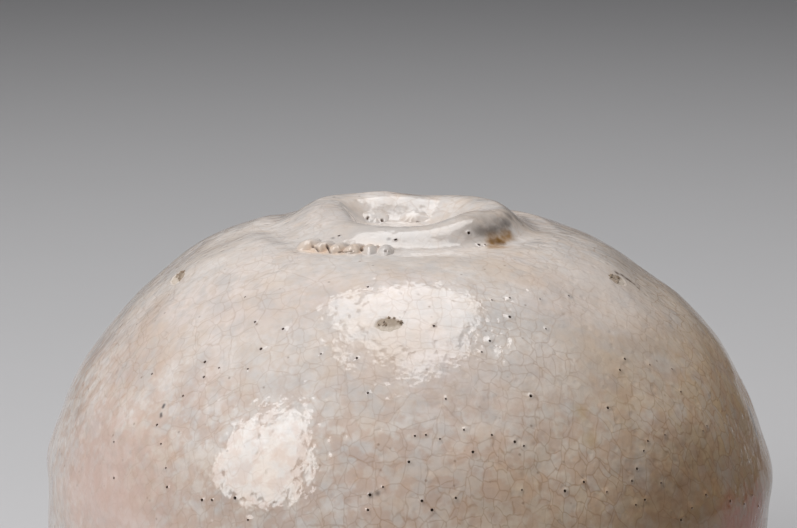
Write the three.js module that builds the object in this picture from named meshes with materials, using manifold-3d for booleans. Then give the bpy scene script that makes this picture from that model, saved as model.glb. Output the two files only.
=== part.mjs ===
// A raku tea bowl, stored mouth down so that its foot ring shows.
// Millimetres, +Z up. The origin is the middle of the mouth, on the surface that the lip stands on.
// Turn angles are counted round +Z from the front (-Y), positive towards the right (+X).
import * as THREE from "three";
import { mergeVertices } from "three/addons/utils/BufferGeometryUtils.js";
import Module from "manifold-3d";

const wasm = await Module();
wasm.setup();

// Bowl, over the glaze
const hipDiameter = 120; // the widest part
const hipHeight = 35; // from the lip up to the widest part
const hipFullness = 20; // how far the wall runs on upright past the hip
const baseHeight = 76.7; // from the lip up to the base round the foot
const baseMargin = 3.3; // level ring of the base round the foot
const baseFullness = 17; // how far the base runs on level past its flat
const lipDiameter = 114.5;
const lipThickness = 5.4;
const lipUpright = 9; // how far the wall rises straight from the lip
const wallThickness = 6.6; // at the hip
const floorThickness = 9;
const teaPoolDiameter = 28; // the hollow in the floor where the last tea gathers
const teaPoolDepth = 1.6;
const floorMargin = 3; // level ring of the floor round the tea pool
const floorFullness = 16; // how far the floor runs on level past that ring

// Glaze
const glazeThickness = 0.9;
const bondGap = 0.3; // left between pieces that are fused on the real bowl

// Foot ring, over the glaze
const footWidth = 37.4; // across the root, left to right
const footDepth = 32.6; // across the root, front to back
const footSquareness = 2.8; // 2 is an oval, more is a rounded square
const footTurn = 8; // degrees that the outline is turned on the base, its left end to the front
const footShift = 1.6; // how far the foot sits to the left of the middle
const footFade = 12; // how far past the root the foot's outline still shapes the base
const footHeight = 4.2;
const outerFlank = 5.1; // from the root in to the crest
const crestLand = 2.6; // width of the crest
const innerFlank = 3.7; // from the crest in to the well
const crestLean = 1.6; // how far the crest leans back to the right
const crestSwell = 0.3; // rubbed off the crest where the bowl stands upright
const frontDip = 1.9; // how far the worn front of the crest lies below the rest
const frontDipTurn = -17;
const frontDipReach = 55;

// Shaping by hand
const outOfRound = 0.25; // at the hip
const outOfRoundTurn = 35;
const leftShoulder = 1.8; // how far the shoulder is fuller on the left and flatter on the right
const hipRidge = 0.5; // ridge at the right of the hip
const hipRidgeRise = 4; // above the hip
const hipRidgeReach = 5;
const lipWave = 1.2; // rise of the lip between its five peaks
const lipPeaks = 5;
const lipPeakTurn = 20;
const lipWear = 0.3; // rubbed off the peaks that the lip stands on

// Kiln spur scars: where each lies on the dome, as [turn, distance from the axis]
const spurPlaces = [[-77, 38.5], [-5, 40], [67, 37.3], [139, 39], [-149, 39]];
const scarLength = 4.4;
const scarWidth = 3.6;
const scarSteepness = 6; // height of the lump that the scar is cut with, in glaze thicknesses
const gritClearance = 0.35; // all round the grit in its scar

// Glaze beads along the root of the foot, and in the well
const rootBeads = 6;
const rootBeadWidth = 2;
const rootBeadSpacing = 0.2; // between one bead and the next
const firstRootBeadTurn = -46;
const wellBeadTurns = [-141, 160];
const wellBeadWidth = 2.6;
const beadHeight = 1.9;
const beadOverlap = 0.45; // how far a bead reaches over the root, before it is cut to it

// Fineness of the facets
const turns = 42;
const footTurns = 36;
const domeSteps = 8;
const wallSteps = 4;
const lipSteps = 7; // an odd count puts a level facet under the lip
const floorSteps = 3;
const flankSteps = 4;
const beadTurns = 10;
const beadRings = 7;

const degree = Math.PI / 180;
const hipRadius = hipDiameter / 2;
const lipRadius = lipDiameter / 2;
const lipRound = lipThickness / 2;
const rootRadius = footWidth / 2;
const crestRadius = rootRadius - outerFlank; // outer edge of the crest
const wellRadius = crestRadius - crestLand - innerFlank;
const baseRadius = rootRadius + baseMargin;
const poolRadius = teaPoolDiameter / 2;
const floorRadius = poolRadius + floorMargin;
const floorHeight = baseHeight - floorThickness;
const clayDepth = glazeThickness + bondGap; // from the glaze's face down to the clay
const clayBase = baseHeight - clayDepth;
const { smoothstep } = THREE.MathUtils;
const vector = (r, z) => new THREE.Vector2(r, z);

// Shape

// Distance from the axis to the foot's root outline.
function footOutline(turn) {
  const along = Math.abs(Math.sin(turn - footTurn * degree)) / (footWidth / 2);
  const across = Math.abs(Math.cos(turn - footTurn * degree)) / (footDepth / 2);
  return (along ** footSquareness + across ** footSquareness) ** (-1 / footSquareness);
}

// Height of the foot's crest above the base, before it is rubbed level. A broad stretch in front dips.
function crestHeight(turn) {
  const away = THREE.MathUtils.euclideanModulo(turn / degree - frontDipTurn + 180, 360) - 180;
  return footHeight + crestSwell - frontDip * Math.exp(-((away / frontDipReach) ** 4));
}

// Takes a point of the round, thrown shape to its place on the bowl as the hand left it.
function formByHand(point) {
  const turn = Math.atan2(point.x, -point.y);
  let r = Math.hypot(point.x, point.y);
  let z = point.z;
  const nearFoot = 1 - smoothstep(r, rootRadius, rootRadius + footFade);
  const onBase = nearFoot * smoothstep(z, floorHeight, clayBase);
  r *= 1 + onBase * (footOutline(turn) / rootRadius - 1);
  const rise = THREE.MathUtils.clamp((z - hipHeight) / (baseHeight - hipHeight), 0, 1);
  const onShoulder = (27 / 4) * rise ** 2 * (1 - rise); // 1 at its highest, two thirds of the way up
  const onRidge = Math.exp(-(((z - hipHeight - hipRidgeRise) / hipRidgeReach) ** 2));
  let swell = outOfRound * Math.cos(2 * (turn - outOfRoundTurn * degree));
  swell -= leftShoulder * onShoulder * Math.sin(turn);
  swell += hipRidge * onRidge * Math.max(0, Math.sin(turn)) ** 4;
  r *= 1 + swell / hipRadius;
  let right = -footShift * onBase;
  if (z > baseHeight) {
    right += (crestLean * (z - baseHeight)) / footHeight;
    z = baseHeight + (z - baseHeight) * (crestHeight(turn) / footHeight);
    z = Math.min(z, baseHeight + footHeight);
  }
  const wave = (lipWave * (1 - Math.cos(lipPeaks * (turn - lipPeakTurn * degree)))) / 2 - lipWear;
  z += wave * (1 - smoothstep(z, 0, hipHeight));
  return point.set(right + r * Math.sin(turn), -r * Math.cos(turn), Math.max(z, 0));
}

// Outlines, in (distance from the axis, height)

const bend = (...points) => new THREE.CubicBezierCurve(...points.map(([r, z]) => vector(r, z)));
const straight = (from, to) => new THREE.LineCurve(vector(...from), vector(...to));

const innerHip = hipRadius - wallThickness;
const innerLip = lipRadius - lipThickness;
const dome = bend(
  [baseRadius, baseHeight],
  [baseRadius + baseFullness, baseHeight],
  [hipRadius, hipHeight + hipFullness],
  [hipRadius, hipHeight],
);
const outerWall = bend(
  [hipRadius, hipHeight],
  [hipRadius, hipHeight - hipFullness],
  [lipRadius, lipRound + lipUpright],
  [lipRadius, lipRound],
);
const innerWall = bend(
  [innerLip, lipRound],
  [innerLip, lipRound + lipUpright],
  [innerHip, hipHeight - hipFullness],
  [innerHip, hipHeight],
);
const innerDome = bend(
  [innerHip, hipHeight],
  [innerHip, hipHeight + hipFullness - wallThickness],
  [floorRadius + floorFullness, floorHeight],
  [floorRadius, floorHeight],
);
const floorLevel = straight([floorRadius, floorHeight], [poolRadius, floorHeight]);
const teaPool = bend(
  [poolRadius, floorHeight],
  [poolRadius / 2, floorHeight],
  [poolRadius / 2, floorHeight + teaPoolDepth],
  [0, floorHeight + teaPoolDepth],
);

// The rounded edge of the lip, short of both walls by the gap given.
function lipEdge(gap) {
  const short = gap / lipRound;
  const middle = lipRadius - lipRound;
  return new THREE.EllipseCurve(middle, lipRound, lipRound, lipRound, -short, Math.PI + short, true);
}

// Points along a run of curves, moved into the wall by depth. Curves are [curve, steps].
function trace(curves, depth) {
  const points = [];
  curves.forEach(([curve, steps], index) => {
    for (let i = index ? 1 : 0; i <= steps; i++) {
      const along = curve.getTangent(i / steps);
      points.push(curve.getPoint(i / steps).add(vector(along.y, -along.x).multiplyScalar(depth)));
    }
  });
  return points;
}

// Outline of a glaze coat along a run of curves.
function coatOutline(curves) {
  const face = trace(curves, 0);
  return [...face, ...trace(curves, glazeThickness).reverse(), face[0].clone()];
}

// Outline of the foot ring's rounded back, taken in by inset: from the well over the crest to the root.
function footBack(inset, bottom) {
  const top = baseHeight + footHeight - inset;
  const root = rootRadius - inset;
  const well = wellRadius + inset;
  const outside = (root + crestRadius) / 2;
  const inside = (well + crestRadius - crestLand) / 2;
  return trace([
    [bend([well, bottom], [inside, bottom], [inside, top], [crestRadius - crestLand, top]), flankSteps],
    [straight([crestRadius - crestLand, top], [crestRadius, top]), 1],
    [bend([crestRadius, top], [outside, top], [outside, bottom], [root, bottom]), flankSteps],
  ], 0);
}

// Solids

// Spins an outline round +Z and forms it by hand. The solid lies to the right of the outline's run.
function spin(outline, steps) {
  const geometry = new THREE.LatheGeometry([...outline].reverse(), steps);
  geometry.rotateX(Math.PI / 2);
  const place = geometry.attributes.position;
  const point = new THREE.Vector3();
  for (let i = 0; i < place.count; i++) {
    formByHand(point.fromBufferAttribute(place, i));
    place.setXYZ(i, point.x, point.y, point.z);
  }
  return bare(geometry);
}

// The geometry with its shared corners merged, and nothing but positions.
function bare(geometry) {
  geometry.deleteAttribute("normal");
  geometry.deleteAttribute("uv");
  return mergeVertices(geometry, 1e-3);
}

function toSolid(geometry) {
  const vertProperties = new Float32Array(geometry.attributes.position.array);
  const triVerts = new Uint32Array(geometry.index.array);
  return new wasm.Manifold(new wasm.Mesh({ numProp: 3, vertProperties, triVerts }));
}

function toGeometry(solid) {
  const { vertProperties, triVerts } = solid.getMesh();
  const geometry = new THREE.BufferGeometry();
  geometry.setAttribute("position", new THREE.BufferAttribute(vertProperties, 3));
  return geometry.setIndex(new THREE.BufferAttribute(triVerts, 1));
}

// A point on the round shape, formed by hand.
function placeAt(turn, r, z) {
  return formByHand(new THREE.Vector3(r * Math.sin(turn), -r * Math.cos(turn), z));
}

// Height of the dome's face at a distance from the axis.
function domeHeight(r) {
  let [low, high] = [0, 1];
  for (let i = 0; i < 40; i++) {
    const middle = (low + high) / 2;
    if (dome.getPoint(middle).x < r) low = middle;
    else high = middle;
  }
  return dome.getPoint(low).y;
}

// A ball of unit width, drawn out to the sizes given and set at a point, along a surface and square to it.
function lump(ball, size, { at, round, out }) {
  const across = new THREE.Vector3().crossVectors(out, round);
  const seat = new THREE.Matrix4().makeBasis(round, across, out).setPosition(at);
  ball.scale(...size);
  ball.applyMatrix4(seat);
  return bare(ball);
}

// Where a spur scar lies: its middle in the dome's glaze, the way round the bowl and the way out of the wall.
function spurSeat([angle, r]) {
  const turn = angle * degree;
  const step = 0.01;
  const at = placeAt(turn, r, domeHeight(r));
  const round = placeAt(turn + step, r, domeHeight(r)).sub(at).normalize();
  const down = placeAt(turn, r * (1 + step), domeHeight(r * (1 + step))).sub(at);
  const out = new THREE.Vector3().crossVectors(down, round).normalize();
  return { at: at.addScaledVector(out, -glazeThickness / 2), round, out };
}

// A lump in a spur scar, smaller than the scar by the clearance given.
function spurLump(place, clearance, height) {
  const size = [scarLength - 2 * clearance, scarWidth - 2 * clearance, height];
  return lump(new THREE.IcosahedronGeometry(0.5, 1), size, spurSeat(place));
}

function makeOuterGlaze() {
  const fromRoot = straight([rootRadius + bondGap, baseHeight], [baseRadius, baseHeight]);
  const outline = coatOutline([[fromRoot, 1], [dome, domeSteps], [outerWall, wallSteps]]);
  let solid = toSolid(spin(outline, turns));
  for (const place of spurPlaces) {
    solid = solid.subtract(toSolid(spurLump(place, 0, scarSteepness * glazeThickness)));
  }
  return toGeometry(solid);
}

// A scrap of kiln spur left in its scar, level with the glaze round it.
function makeSpurGrit(place) {
  return spurLump(place, gritClearance, glazeThickness);
}

function makeClayBody() {
  const base = straight([0, baseHeight], [baseRadius, baseHeight]);
  const outline = trace([
    [base, 1],
    [dome, domeSteps],
    [outerWall, wallSteps],
    [lipEdge(0), lipSteps],
    [innerWall, wallSteps],
    [innerDome, domeSteps],
    [floorLevel, 1],
    [teaPool, floorSteps],
  ], clayDepth);
  return spin(outline, turns);
}

function makeInnerGlaze() {
  const run = [[innerWall, wallSteps], [innerDome, domeSteps], [floorLevel, 1], [teaPool, floorSteps]];
  return spin([...trace(run, glazeThickness).reverse(), ...trace(run, 0)], turns);
}

function makeLipGlaze() {
  return spin(coatOutline([[lipEdge(bondGap), lipSteps]]), turns);
}

function makeFootCoil() {
  const back = footBack(clayDepth, baseHeight - glazeThickness);
  return spin([...back, back[0].clone()], footTurns);
}

function makeFootGlaze() {
  const bottom = baseHeight - glazeThickness;
  const face = footBack(0, baseHeight);
  const under = footBack(glazeThickness, bottom).reverse();
  const outline = [vector(wellRadius, bottom), ...face, vector(rootRadius, bottom), ...under];
  return spin([...outline, outline[0].clone()], footTurns);
}

function makeWellGlaze() {
  return makeDisc(wellRadius - bondGap, baseHeight, baseHeight - glazeThickness);
}

function makeDisc(rim, top, bottom) {
  return spin([vector(0, top), vector(rim, top), vector(rim, bottom), vector(0, bottom)], footTurns);
}

// What a bead is cut to: the base and the foot ring, grown by the gap.
function makeBeadBed() {
  const bottom = baseHeight - 2 * (bondGap + beadHeight);
  const back = footBack(-bondGap, baseHeight + bondGap);
  const ring = [vector(wellRadius - bondGap, bottom), ...back, vector(rootRadius + bondGap, bottom)];
  const slab = makeDisc(baseRadius, baseHeight + bondGap, bottom);
  return toSolid(spin([...ring, ring[0].clone()], footTurns)).add(toSolid(slab));
}

// A bead of glaze that crawled and set at the foot's root, on the outside or in the well.
function makeBead(turn, width, r, bed) {
  const at = placeAt(turn, r, baseHeight);
  const round = new THREE.Vector3(Math.cos(turn), Math.sin(turn), 0);
  const out = new THREE.Vector3(0, 0, 1);
  const ball = new THREE.SphereGeometry(0.5, beadTurns, beadRings);
  const bead = lump(ball, [width, width, 2 * (bondGap + beadHeight)], { at, round, out });
  return toGeometry(toSolid(bead).subtract(bed));
}

// Assembly

const glaze = { color: "#d6cbc0", roughness: 0.22, metalness: 0 };
const clay = { color: "#b98e72", roughness: 0.9, metalness: 0 };
const grit = { color: "#5f564a", roughness: 0.95, metalness: 0 };

const bowl = new THREE.Group();

function addPiece(name, geometry, finish) {
  const piece = new THREE.Mesh(geometry, new THREE.MeshStandardMaterial(finish));
  piece.name = name;
  bowl.add(piece);
}

addPiece("clay_body", makeClayBody(), clay);
addPiece("foot_coil", makeFootCoil(), clay);
addPiece("outer_glaze", makeOuterGlaze(), glaze);
addPiece("lip_glaze", makeLipGlaze(), glaze);
addPiece("inner_glaze", makeInnerGlaze(), glaze);
addPiece("foot_glaze", makeFootGlaze(), glaze);
addPiece("well_glaze", makeWellGlaze(), glaze);

const bed = makeBeadBed();
const rootBeadStep = (rootBeadWidth + rootBeadSpacing) / (footDepth / 2);
for (let i = 0; i < rootBeads; i++) {
  const turn = firstRootBeadTurn * degree + i * rootBeadStep;
  const r = rootRadius + rootBeadWidth / 2 - beadOverlap;
  addPiece(`root_bead_${i + 1}`, makeBead(turn, rootBeadWidth, r, bed), glaze);
}
wellBeadTurns.forEach((angle, i) => {
  const r = wellRadius - wellBeadWidth / 2 + beadOverlap;
  addPiece(`well_bead_${i + 1}`, makeBead(angle * degree, wellBeadWidth, r, bed), glaze);
});
spurPlaces.forEach((place, i) => addPiece(`spur_grit_${i + 1}`, makeSpurGrit(place), grit));

export default bowl;
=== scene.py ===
"""A white raku tea bowl, mouth down, dressed over its packed clay frame.

Lengths are metres. Turns are counted round +Z from the front (-Y), positive towards the right (+X).
The glaze is one skin that runs from the middle of the foot's well over the foot ring, dome, wall and lip
to the middle of the bowl's floor. It is cut into coats where the frame's glaze coats meet.
"""

import math

import bmesh
import bpy
import numpy as np
from bpy.props import FloatProperty, FloatVectorProperty, IntProperty, PointerProperty
from mathutils import Matrix, Vector, noise
from mathutils.bvhtree import BVHTree


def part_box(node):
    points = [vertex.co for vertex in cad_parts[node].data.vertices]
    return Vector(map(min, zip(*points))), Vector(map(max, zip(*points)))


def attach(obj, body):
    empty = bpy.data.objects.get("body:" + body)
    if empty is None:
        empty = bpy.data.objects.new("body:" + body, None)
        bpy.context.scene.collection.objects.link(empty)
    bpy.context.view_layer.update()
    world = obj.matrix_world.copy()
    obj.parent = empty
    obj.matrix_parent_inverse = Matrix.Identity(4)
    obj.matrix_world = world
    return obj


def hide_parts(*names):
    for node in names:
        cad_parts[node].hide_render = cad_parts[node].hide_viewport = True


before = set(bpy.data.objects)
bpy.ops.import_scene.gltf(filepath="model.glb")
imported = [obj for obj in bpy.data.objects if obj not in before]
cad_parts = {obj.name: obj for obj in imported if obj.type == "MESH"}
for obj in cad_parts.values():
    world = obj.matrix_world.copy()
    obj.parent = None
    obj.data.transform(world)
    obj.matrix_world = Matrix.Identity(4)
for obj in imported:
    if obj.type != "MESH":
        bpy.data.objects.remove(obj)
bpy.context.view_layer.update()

bl_info = {
    "name": "Raku tea bowl",
    "version": (1, 0, 0),
    "blender": (4, 5, 0),
    "location": "View3D > Sidebar > Tea bowl",
    "description": "Builds the crazed glaze, glaze beads and spur grit of a white raku tea bowl",
    "category": "Object",
}

MM = 0.001
FULL_TURN = 2 * math.pi

# The photograph's frame, in pixels
IMAGE_WIDTH = 797
IMAGE_HEIGHT = 528

# Fineness of the skin
COLUMNS = 432
FOOT_ROW = 0.3 * MM
OUTSIDE_ROW = 0.85 * MM
LIP_ROW = 0.6 * MM
INSIDE_ROW = 1.4 * MM
BACK_ROWS = 18
CLAY_ROWS = 140
CLAY_COLUMN_STEP = 4
CURVE_STEPS = 200
ROUND_HANDLE = 0.5523  # handle of a Bézier quarter circle, in radii
REACH_SAMPLES = 16  # ways in which the reach of a flaw is measured
RING_SIDES = 72
WELD = 0.001 * MM  # points closer than this are one

# Flaws that show in the photograph, by pixel
PINHOLES_LEFT = [
    (245, 297), (255, 322), (283, 329), (321, 354), (312, 359), (261, 349), (248, 369), (219, 368),
    (205, 362), (204, 377), (152, 374), (183, 396), (157, 425), (161, 444), (166, 468), (167, 487),
    (114, 478), (114, 442), (202, 500), (212, 500), (235, 498), (248, 520),
]
PINHOLES_MIDDLE = [
    (368, 287), (357, 358), (368, 393), (409, 462), (415, 436), (370, 495), (378, 493), (383, 487),
    (368, 510), (510, 298), (492, 300), (510, 317), (490, 341), (482, 352), (434, 326), (446, 399),
    (473, 452), (464, 430), (440, 439), (426, 435), (492, 435), (456, 498), (432, 510), (422, 501),
]
PINHOLES_RIGHT = [
    (569, 296), (540, 299), (546, 329), (531, 396), (620, 370), (625, 359), (650, 365), (672, 369),
    (608, 408), (616, 409), (648, 441), (644, 451), (665, 435), (707, 426), (703, 431), (637, 469),
    (632, 481), (661, 483), (645, 500), (636, 505), (607, 492), (584, 482), (565, 491), (522, 490),
    (515, 442), (524, 446), (748, 460), (692, 508), (681, 392), (681, 520), (706, 495), (730, 501),
    (744, 504), (752, 495), (758, 506),
]
PINHOLES_FOOT = [
    (469, 233), (479, 245), (485, 245), (339, 236), (333, 238), (396, 240),
]

# Lumps and hollows of the wall: turn in degrees, height in millimetres, reach round in degrees,
# and reach up and rise in millimetres
WALL_LUMPS = {
    "flat left shoulder": (-90, 61, 60, 9.5, -1.25),
    "full left of the base": (-110, 75, 55, 4, 0.6),
    "full left hip": (-90, 24, 50, 18, 0.9),
    "full right shoulder": (90, 58, 50, 10, 0.95),
    "flat right of the base": (90, 70.5, 55, 4.5, -0.95),
    "ridge at the right hip": (90, 36.4, 40, 4, 0.35),
    "flat above that ridge": (90, 43.5, 40, 4.5, -0.2),
    "ridge at the left hip": (-90, 39, 40, 3.5, 0.3),
    "flat above the left hip": (-90, 47, 40, 5, -0.3),
}
# Lumps and hollows of the foot: right, back, reach and rise in millimetres
FOOT_LUMPS = {
    "low base at the back left": (-21, 18, 6, -0.85),
    "ramp at the back of the well": (0, 6.8, 3.4, 0.55),
    "low crest at the back": (4, 12.8, 7, -0.65),
    "high crest at the left": (-5, 11.5, 2.5, 0.2),
    "hollow beside the lug": (11.5, -1.5, 2.6, -0.55),
    "front strand": (-7, -9.5, 4, 0.4),
    "right of the front strand": (9.3, -6.2, 3, 0.3),
}
# Where the crest and the root of the foot were pushed outwards: turn and reach round in degrees,
# and the push in millimetres
CREST_PUSHES = {
    "lug": (86, 34, 1.2),
    "corner at the back left": (-113, 30, 1.8),
}
ROOT_PUSHES = {
    "broad left flank": (-90, 55, 2.4),
    "broad right flank": (106, 42, 4.6),
}

# Beads of glaze, in millimetres: half across, half down the face, rise, and how far they sagged down the face
BEAD_SIZES = {"root": (1.5, 2.5, 1.25, 0.7), "well": (2.4, 1.7, 0.5, 0)}
BEAD_SLANT = 0.85  # 0.5 for half a ball, 1 for a mound with slanting sides
BEAD_RINGS = 28
BEAD_SINK = 0.04 * MM  # how far a bead's edge dips under the glaze
# Openings burst in the beads: the pixels of both ends and half the width in pixels
BEAD_OPENINGS = {
    "left slit, upper half": ((312.2, 246.2), (316.4, 247.3), 0.8),
    "left slit, lower half": ((316.4, 247.3), (319.4, 253.0), 1.0),
    "second slit, upper half": ((327.1, 245.4), (328.3, 247.8), 1.1),
    "second slit, lower half": ((328.3, 247.8), (331.2, 255.6), 0.8),
    "level slit": ((338.5, 251.6), (352.0, 250.8), 0.7),
    "large hole": ((361.4, 248.8), (361.6, 249.2), 1.6),
    "thin slit": ((371.0, 243.0), (375.0, 243.6), 0.6),
    "hole at the thin slit": ((374.9, 243.5), (375.1, 243.8), 1.3),
    "right hole": ((385.6, 250.3), (385.8, 250.5), 1.0),
    "left slit in the well": ((368.5, 216.8), (365.3, 221.5), 0.9),
    "hole in the well": ((382.2, 219.8), (382.4, 220.2), 1.3),
    "right slit in the well": ((417.0, 221.5), (424.0, 223.5), 0.8),
}
OPENING_EDGES = (0.6, 1.4)  # half widths between which an opening runs out
OPENING_DEPTH = 0.75  # depth of an opening, as a share of the bead's height there

# Stain marks, some of them painted light and shade: pixels of their middles, radius in millimetres, strength
# and colour
STAINS_AND_PAINTED_LIGHT = {
    # Grey over the foot's lit top is painted shade.
    "painted grey shade on the foot": ([(385, 230)], 24, 0.6, "grey"),
    # White by the foot and on the right shoulder is painted light.
    "painted light by the foot": ([(240, 245), (605, 285)], 15, 0.5, "white"),
    "warm low left": ([(90, 480), (120, 520)], 20, 0.6, "pink"),
    # Pale smoke on the lug's face is partly smoke and partly painted shade below its crest.
    "thin smoke and painted shade on the lug": ([(492, 222), (474, 225)], 5.0, 0.45, "pale_smoke_and_shade"),
    # Dark smoke round the lug's end is partly smoke and partly painted shade in the crease under it.
    "smoke and painted shade round the lug": (
        [(509, 216), (506, 221), (503, 226), (494, 231), (482, 233)], 2.2, 0.6, "smoke",
    ),
    "smoke behind the lug": ([(517, 219)], 1.7, 0.5, "smoke"),
    "iron under the lug": ([(509, 235), (504, 238), (498, 240), (491, 241)], 1.9, 0.8, "amber"),
    "dark iron under the lug": ([(493, 241), (499, 242)], 1.4, 0.9, "iron"),
    "iron run onto the base": ([(492, 247), (498, 247)], 2.0, 0.55, "amber"),
    "grit smeared by the right scar": (
        [(617, 273), (622, 275), (627, 279), (630, 281), (634, 284), (638, 288)], 0.8, 0.85, "hole",
    ),
    # Dark smudges on the front strand are partly specks and partly painted shade along the tops of the beads.
    "smudges and painted shade on the front strand": (
        [(333, 238), (340, 236), (389, 239), (396, 240), (334, 197)], 0.6, 0.6, "smoke",
    ),
    "dark streaks at the left": ([(164, 405), (163, 407), (161, 414), (161, 416)], 0.5, 0.85, "slate"),
    "dark spots low in front": ([(370, 495), (378, 493)], 0.7, 0.7, "smoke"),
    # Brown low on the right is partly stained glaze and partly painted shade on the side away from the lamps.
    "brown and painted shade low on the right": ([(655, 508), (690, 485)], 13, 0.35, "brown"),
    "halo of the beads": (
        [(310, 250), (320, 252), (332, 252), (346, 253), (360, 252), (374, 249)], 3.0, 0.42, "peach",
    ),
    "golden patches": ([(580, 412), (590, 440)], 2.4, 0.45, "gold"),
    "blush near the lip": ([(758, 512), (748, 524), (762, 526), (730, 526)], 7.0, 0.55, "blush"),
    "slate streak": ([(749, 408), (751, 414), (753, 421), (755, 428), (757, 434)], 1.7, 0.5, "slate"),
}
STAIN_EDGES = (0.45, 1.5)  # radii between which a stain runs out
STAIN_GRAIN = 1.6 * MM  # width of the ragged bits at a stain's edge

# Waves in the skin: where in the noise each kind is taken from
DENT_SEED = 3.7
SWELL_SEED = 31.7
RIPPLE_SEED = 27.9

# Rings of a pinhole from outside inwards: share of its radius, height in rims, depth in depths, and darkness,
# which is partly the clay in the hole and partly painted shade
PINHOLE_RINGS = [
    (1.55, 0, 0, 0.0), (1.2, 1, 0, 0.0), (1.0, 0.5, 0, 0.35),
    (0.84, 0, 0.3, 1), (0.66, 0, 0.8, 1), (0.3, 0, 1, 1),
]
PINHOLE_RIM = 0.13  # height of the rim that healed round the hole, in widths of the hole
PINHOLES_SEEN = (0.55, 0.95)  # smallest and largest pinhole in front, as shares of the full width
PINHOLES_HIDDEN = (0.5, 1.0)  # the same elsewhere
PINHOLE_SEED = 11
# Rings of a spur scar from outside inwards: share of its outline, depth in depths, and bareness
SCAR_RINGS = [
    (1.25, 0, 0.1), (1.1, 0, 0.5), (1.0, 0.15, 0.8), (0.9, 0.6, 1), (0.8, 0.95, 1), (0.6, 1, 1), (0.3, 1, 1),
]
# How often the edge of a scar or a bead swings in and out, and how far, as a share of its radius
RAGGED_SWINGS = 2.2
RAGGED_SHARE = 0.16

# Rings of a cake of grit from its middle outwards: share of the scar's outline, and depth in covers
CAKE_RINGS = [(0.0, 0.6), (0.25, 0.75), (0.5, 0.9), (0.72, 1.0), (0.9, 0.9), (1.06, 1.5), (1.1, 6.0)]
CAKE_LUMP_SIZE = 0.55 * MM
CAKE_LUMP_HEIGHT = 0.06 * MM
CAKE_LUMP_SEED = 5.1
# The cake's top is darker: partly a crusting of dark grit and partly painted shade under the scar's upper
# edge.
DARK_TOP_SHARES = (0.4, 0.6)  # shares of a cake's height between which its dark top begins
DARK_TOP_TINT = 0.6  # how dark that top is, as a share of the grains' colour
DARK_TOP_PATCH_SIZE = 0.6 * MM
DARK_TOP_PATCH_SHARE = 0.12  # how far the patches move the dark top's edge, as a share of the cake's height
DARK_TOP_PATCH_SEED = 8.3
# Dark grains on the cakes, in clumps
GRAIN_SIZE = 0.36 * MM
GRAIN_STRETCH = ((0.35, 0.35, 0.3), (1.0, 0.8, 0.6))  # smallest and largest grain, in grain sizes
GRAIN_SHADES = (0.55, 1.0)  # palest and darkest grain, as shares of the grains' colour
GRAINS_PER_AREA = 9e6  # to a square metre
GRAINS_FROM = 0.5  # share of a cake's height above which grains lie
CLUMP_SIZE = 1.1 * MM
CLUMP_EDGES = (0.5, 0.62)  # noise where a clump begins and where it is full
GRIT_SEED = 5

# How the craze is spread out flat: its pull down the wall over its pull round the bowl, and the most of it
SPREAD_PULL = 1.5
SPREAD_LIMIT = 2.6
CRAZE_UNEVEN = 0.62  # 0 for square craze cells, 1 for cells of any shape
CRAZE_BEND = 0.9  # how far craze lines wander, in cells
CRAZE_BENDS = 0.7  # how often they do, to a cell
CRAZE_SHIFT = 50  # cells that the fine craze is shifted by, at most, from one long cell to the next

# The glaze is warmer, browner and darker towards the lower right, the side away from the lamps: partly
# stained glaze and partly painted shade. That way, and the metres along it between which the tan, the brown
# and the darker craze set in
LOW_RIGHT = (0.62, -0.05, -0.78)
WARM_REACH = (-0.049, 0.003)
BROWN_REACH = (-0.014, 0.012)
CRAZE_REACH = (-0.05, -0.012)
# How much of its colour each layer of the glaze shows where it is strongest
WARM_TINT = 0.82
BROWN_TINT = 0.65
CRAZE_TINTS = (0.18, 0.38)  # at the upper left and at the lower right
THIN_TINT = 0.32
SPECK_TINT = 0.55
CHIPPED_TINT = 0.6
SPECK_EDGES = (0.03, 0.09)  # spacings from a speck's middle between which it runs out
PIT_EDGE = 0.32  # spacings from a pit's middle to its edge
GLAZE_ROUGHNESS = (0.07, 0.14)
GLAZE_IOR = 1.5
BARE_ROUGHNESS = 0.5  # how much rougher bare clay is

# Clay, grit and floor
CLAY_BLUSH_SIZE = 6 * MM
CLAY_ROUGHNESS = 0.9
GROG_SIZE = 0.9 * MM
GROG_EDGES = (0.1, 0.3)  # grog sizes from the middle of a grain of grog between which it runs out
GROG_TINT = 0.5
GROG_RELIEF = 0.1 * MM
GRIT_MOTTLE_SIZE = 0.5 * MM
GRIT_ROUGHNESS = 0.95
GRIT_BUMP_SIZE = 0.2 * MM
GRIT_RELIEF = 0.08 * MM
BOARD_MOTTLE_SIZE = 40 * MM
BOARD_ROUGHNESS = 0.9


# Settings

def linear(hex_colour):
    """An sRGB hex colour as linear red, green and blue."""
    shares = [int(hex_colour[i:i + 2], 16) / 255 for i in (1, 3, 5)]
    return tuple(c / 12.92 if c <= 0.04045 else ((c + 0.055) / 1.055) ** 2.4 for c in shares)


def length(name, description, millimetres):
    """A length, written in millimetres."""
    return FloatProperty(
        name=name, description=description, default=millimetres * MM, unit="LENGTH", precision=5
    )


def angle(name, description, degrees):
    """An angle, written in degrees."""
    return FloatProperty(name=name, description=description, default=math.radians(degrees), subtype="ANGLE")


def amount(name, description, default):
    """A plain number."""
    return FloatProperty(name=name, description=description, default=default, precision=4)


def colour(name, description, hex_colour):
    """A colour, written as sRGB hex."""
    return FloatVectorProperty(
        name=name, description=description, default=linear(hex_colour), size=3, subtype="COLOR", min=0, max=1
    )


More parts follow.
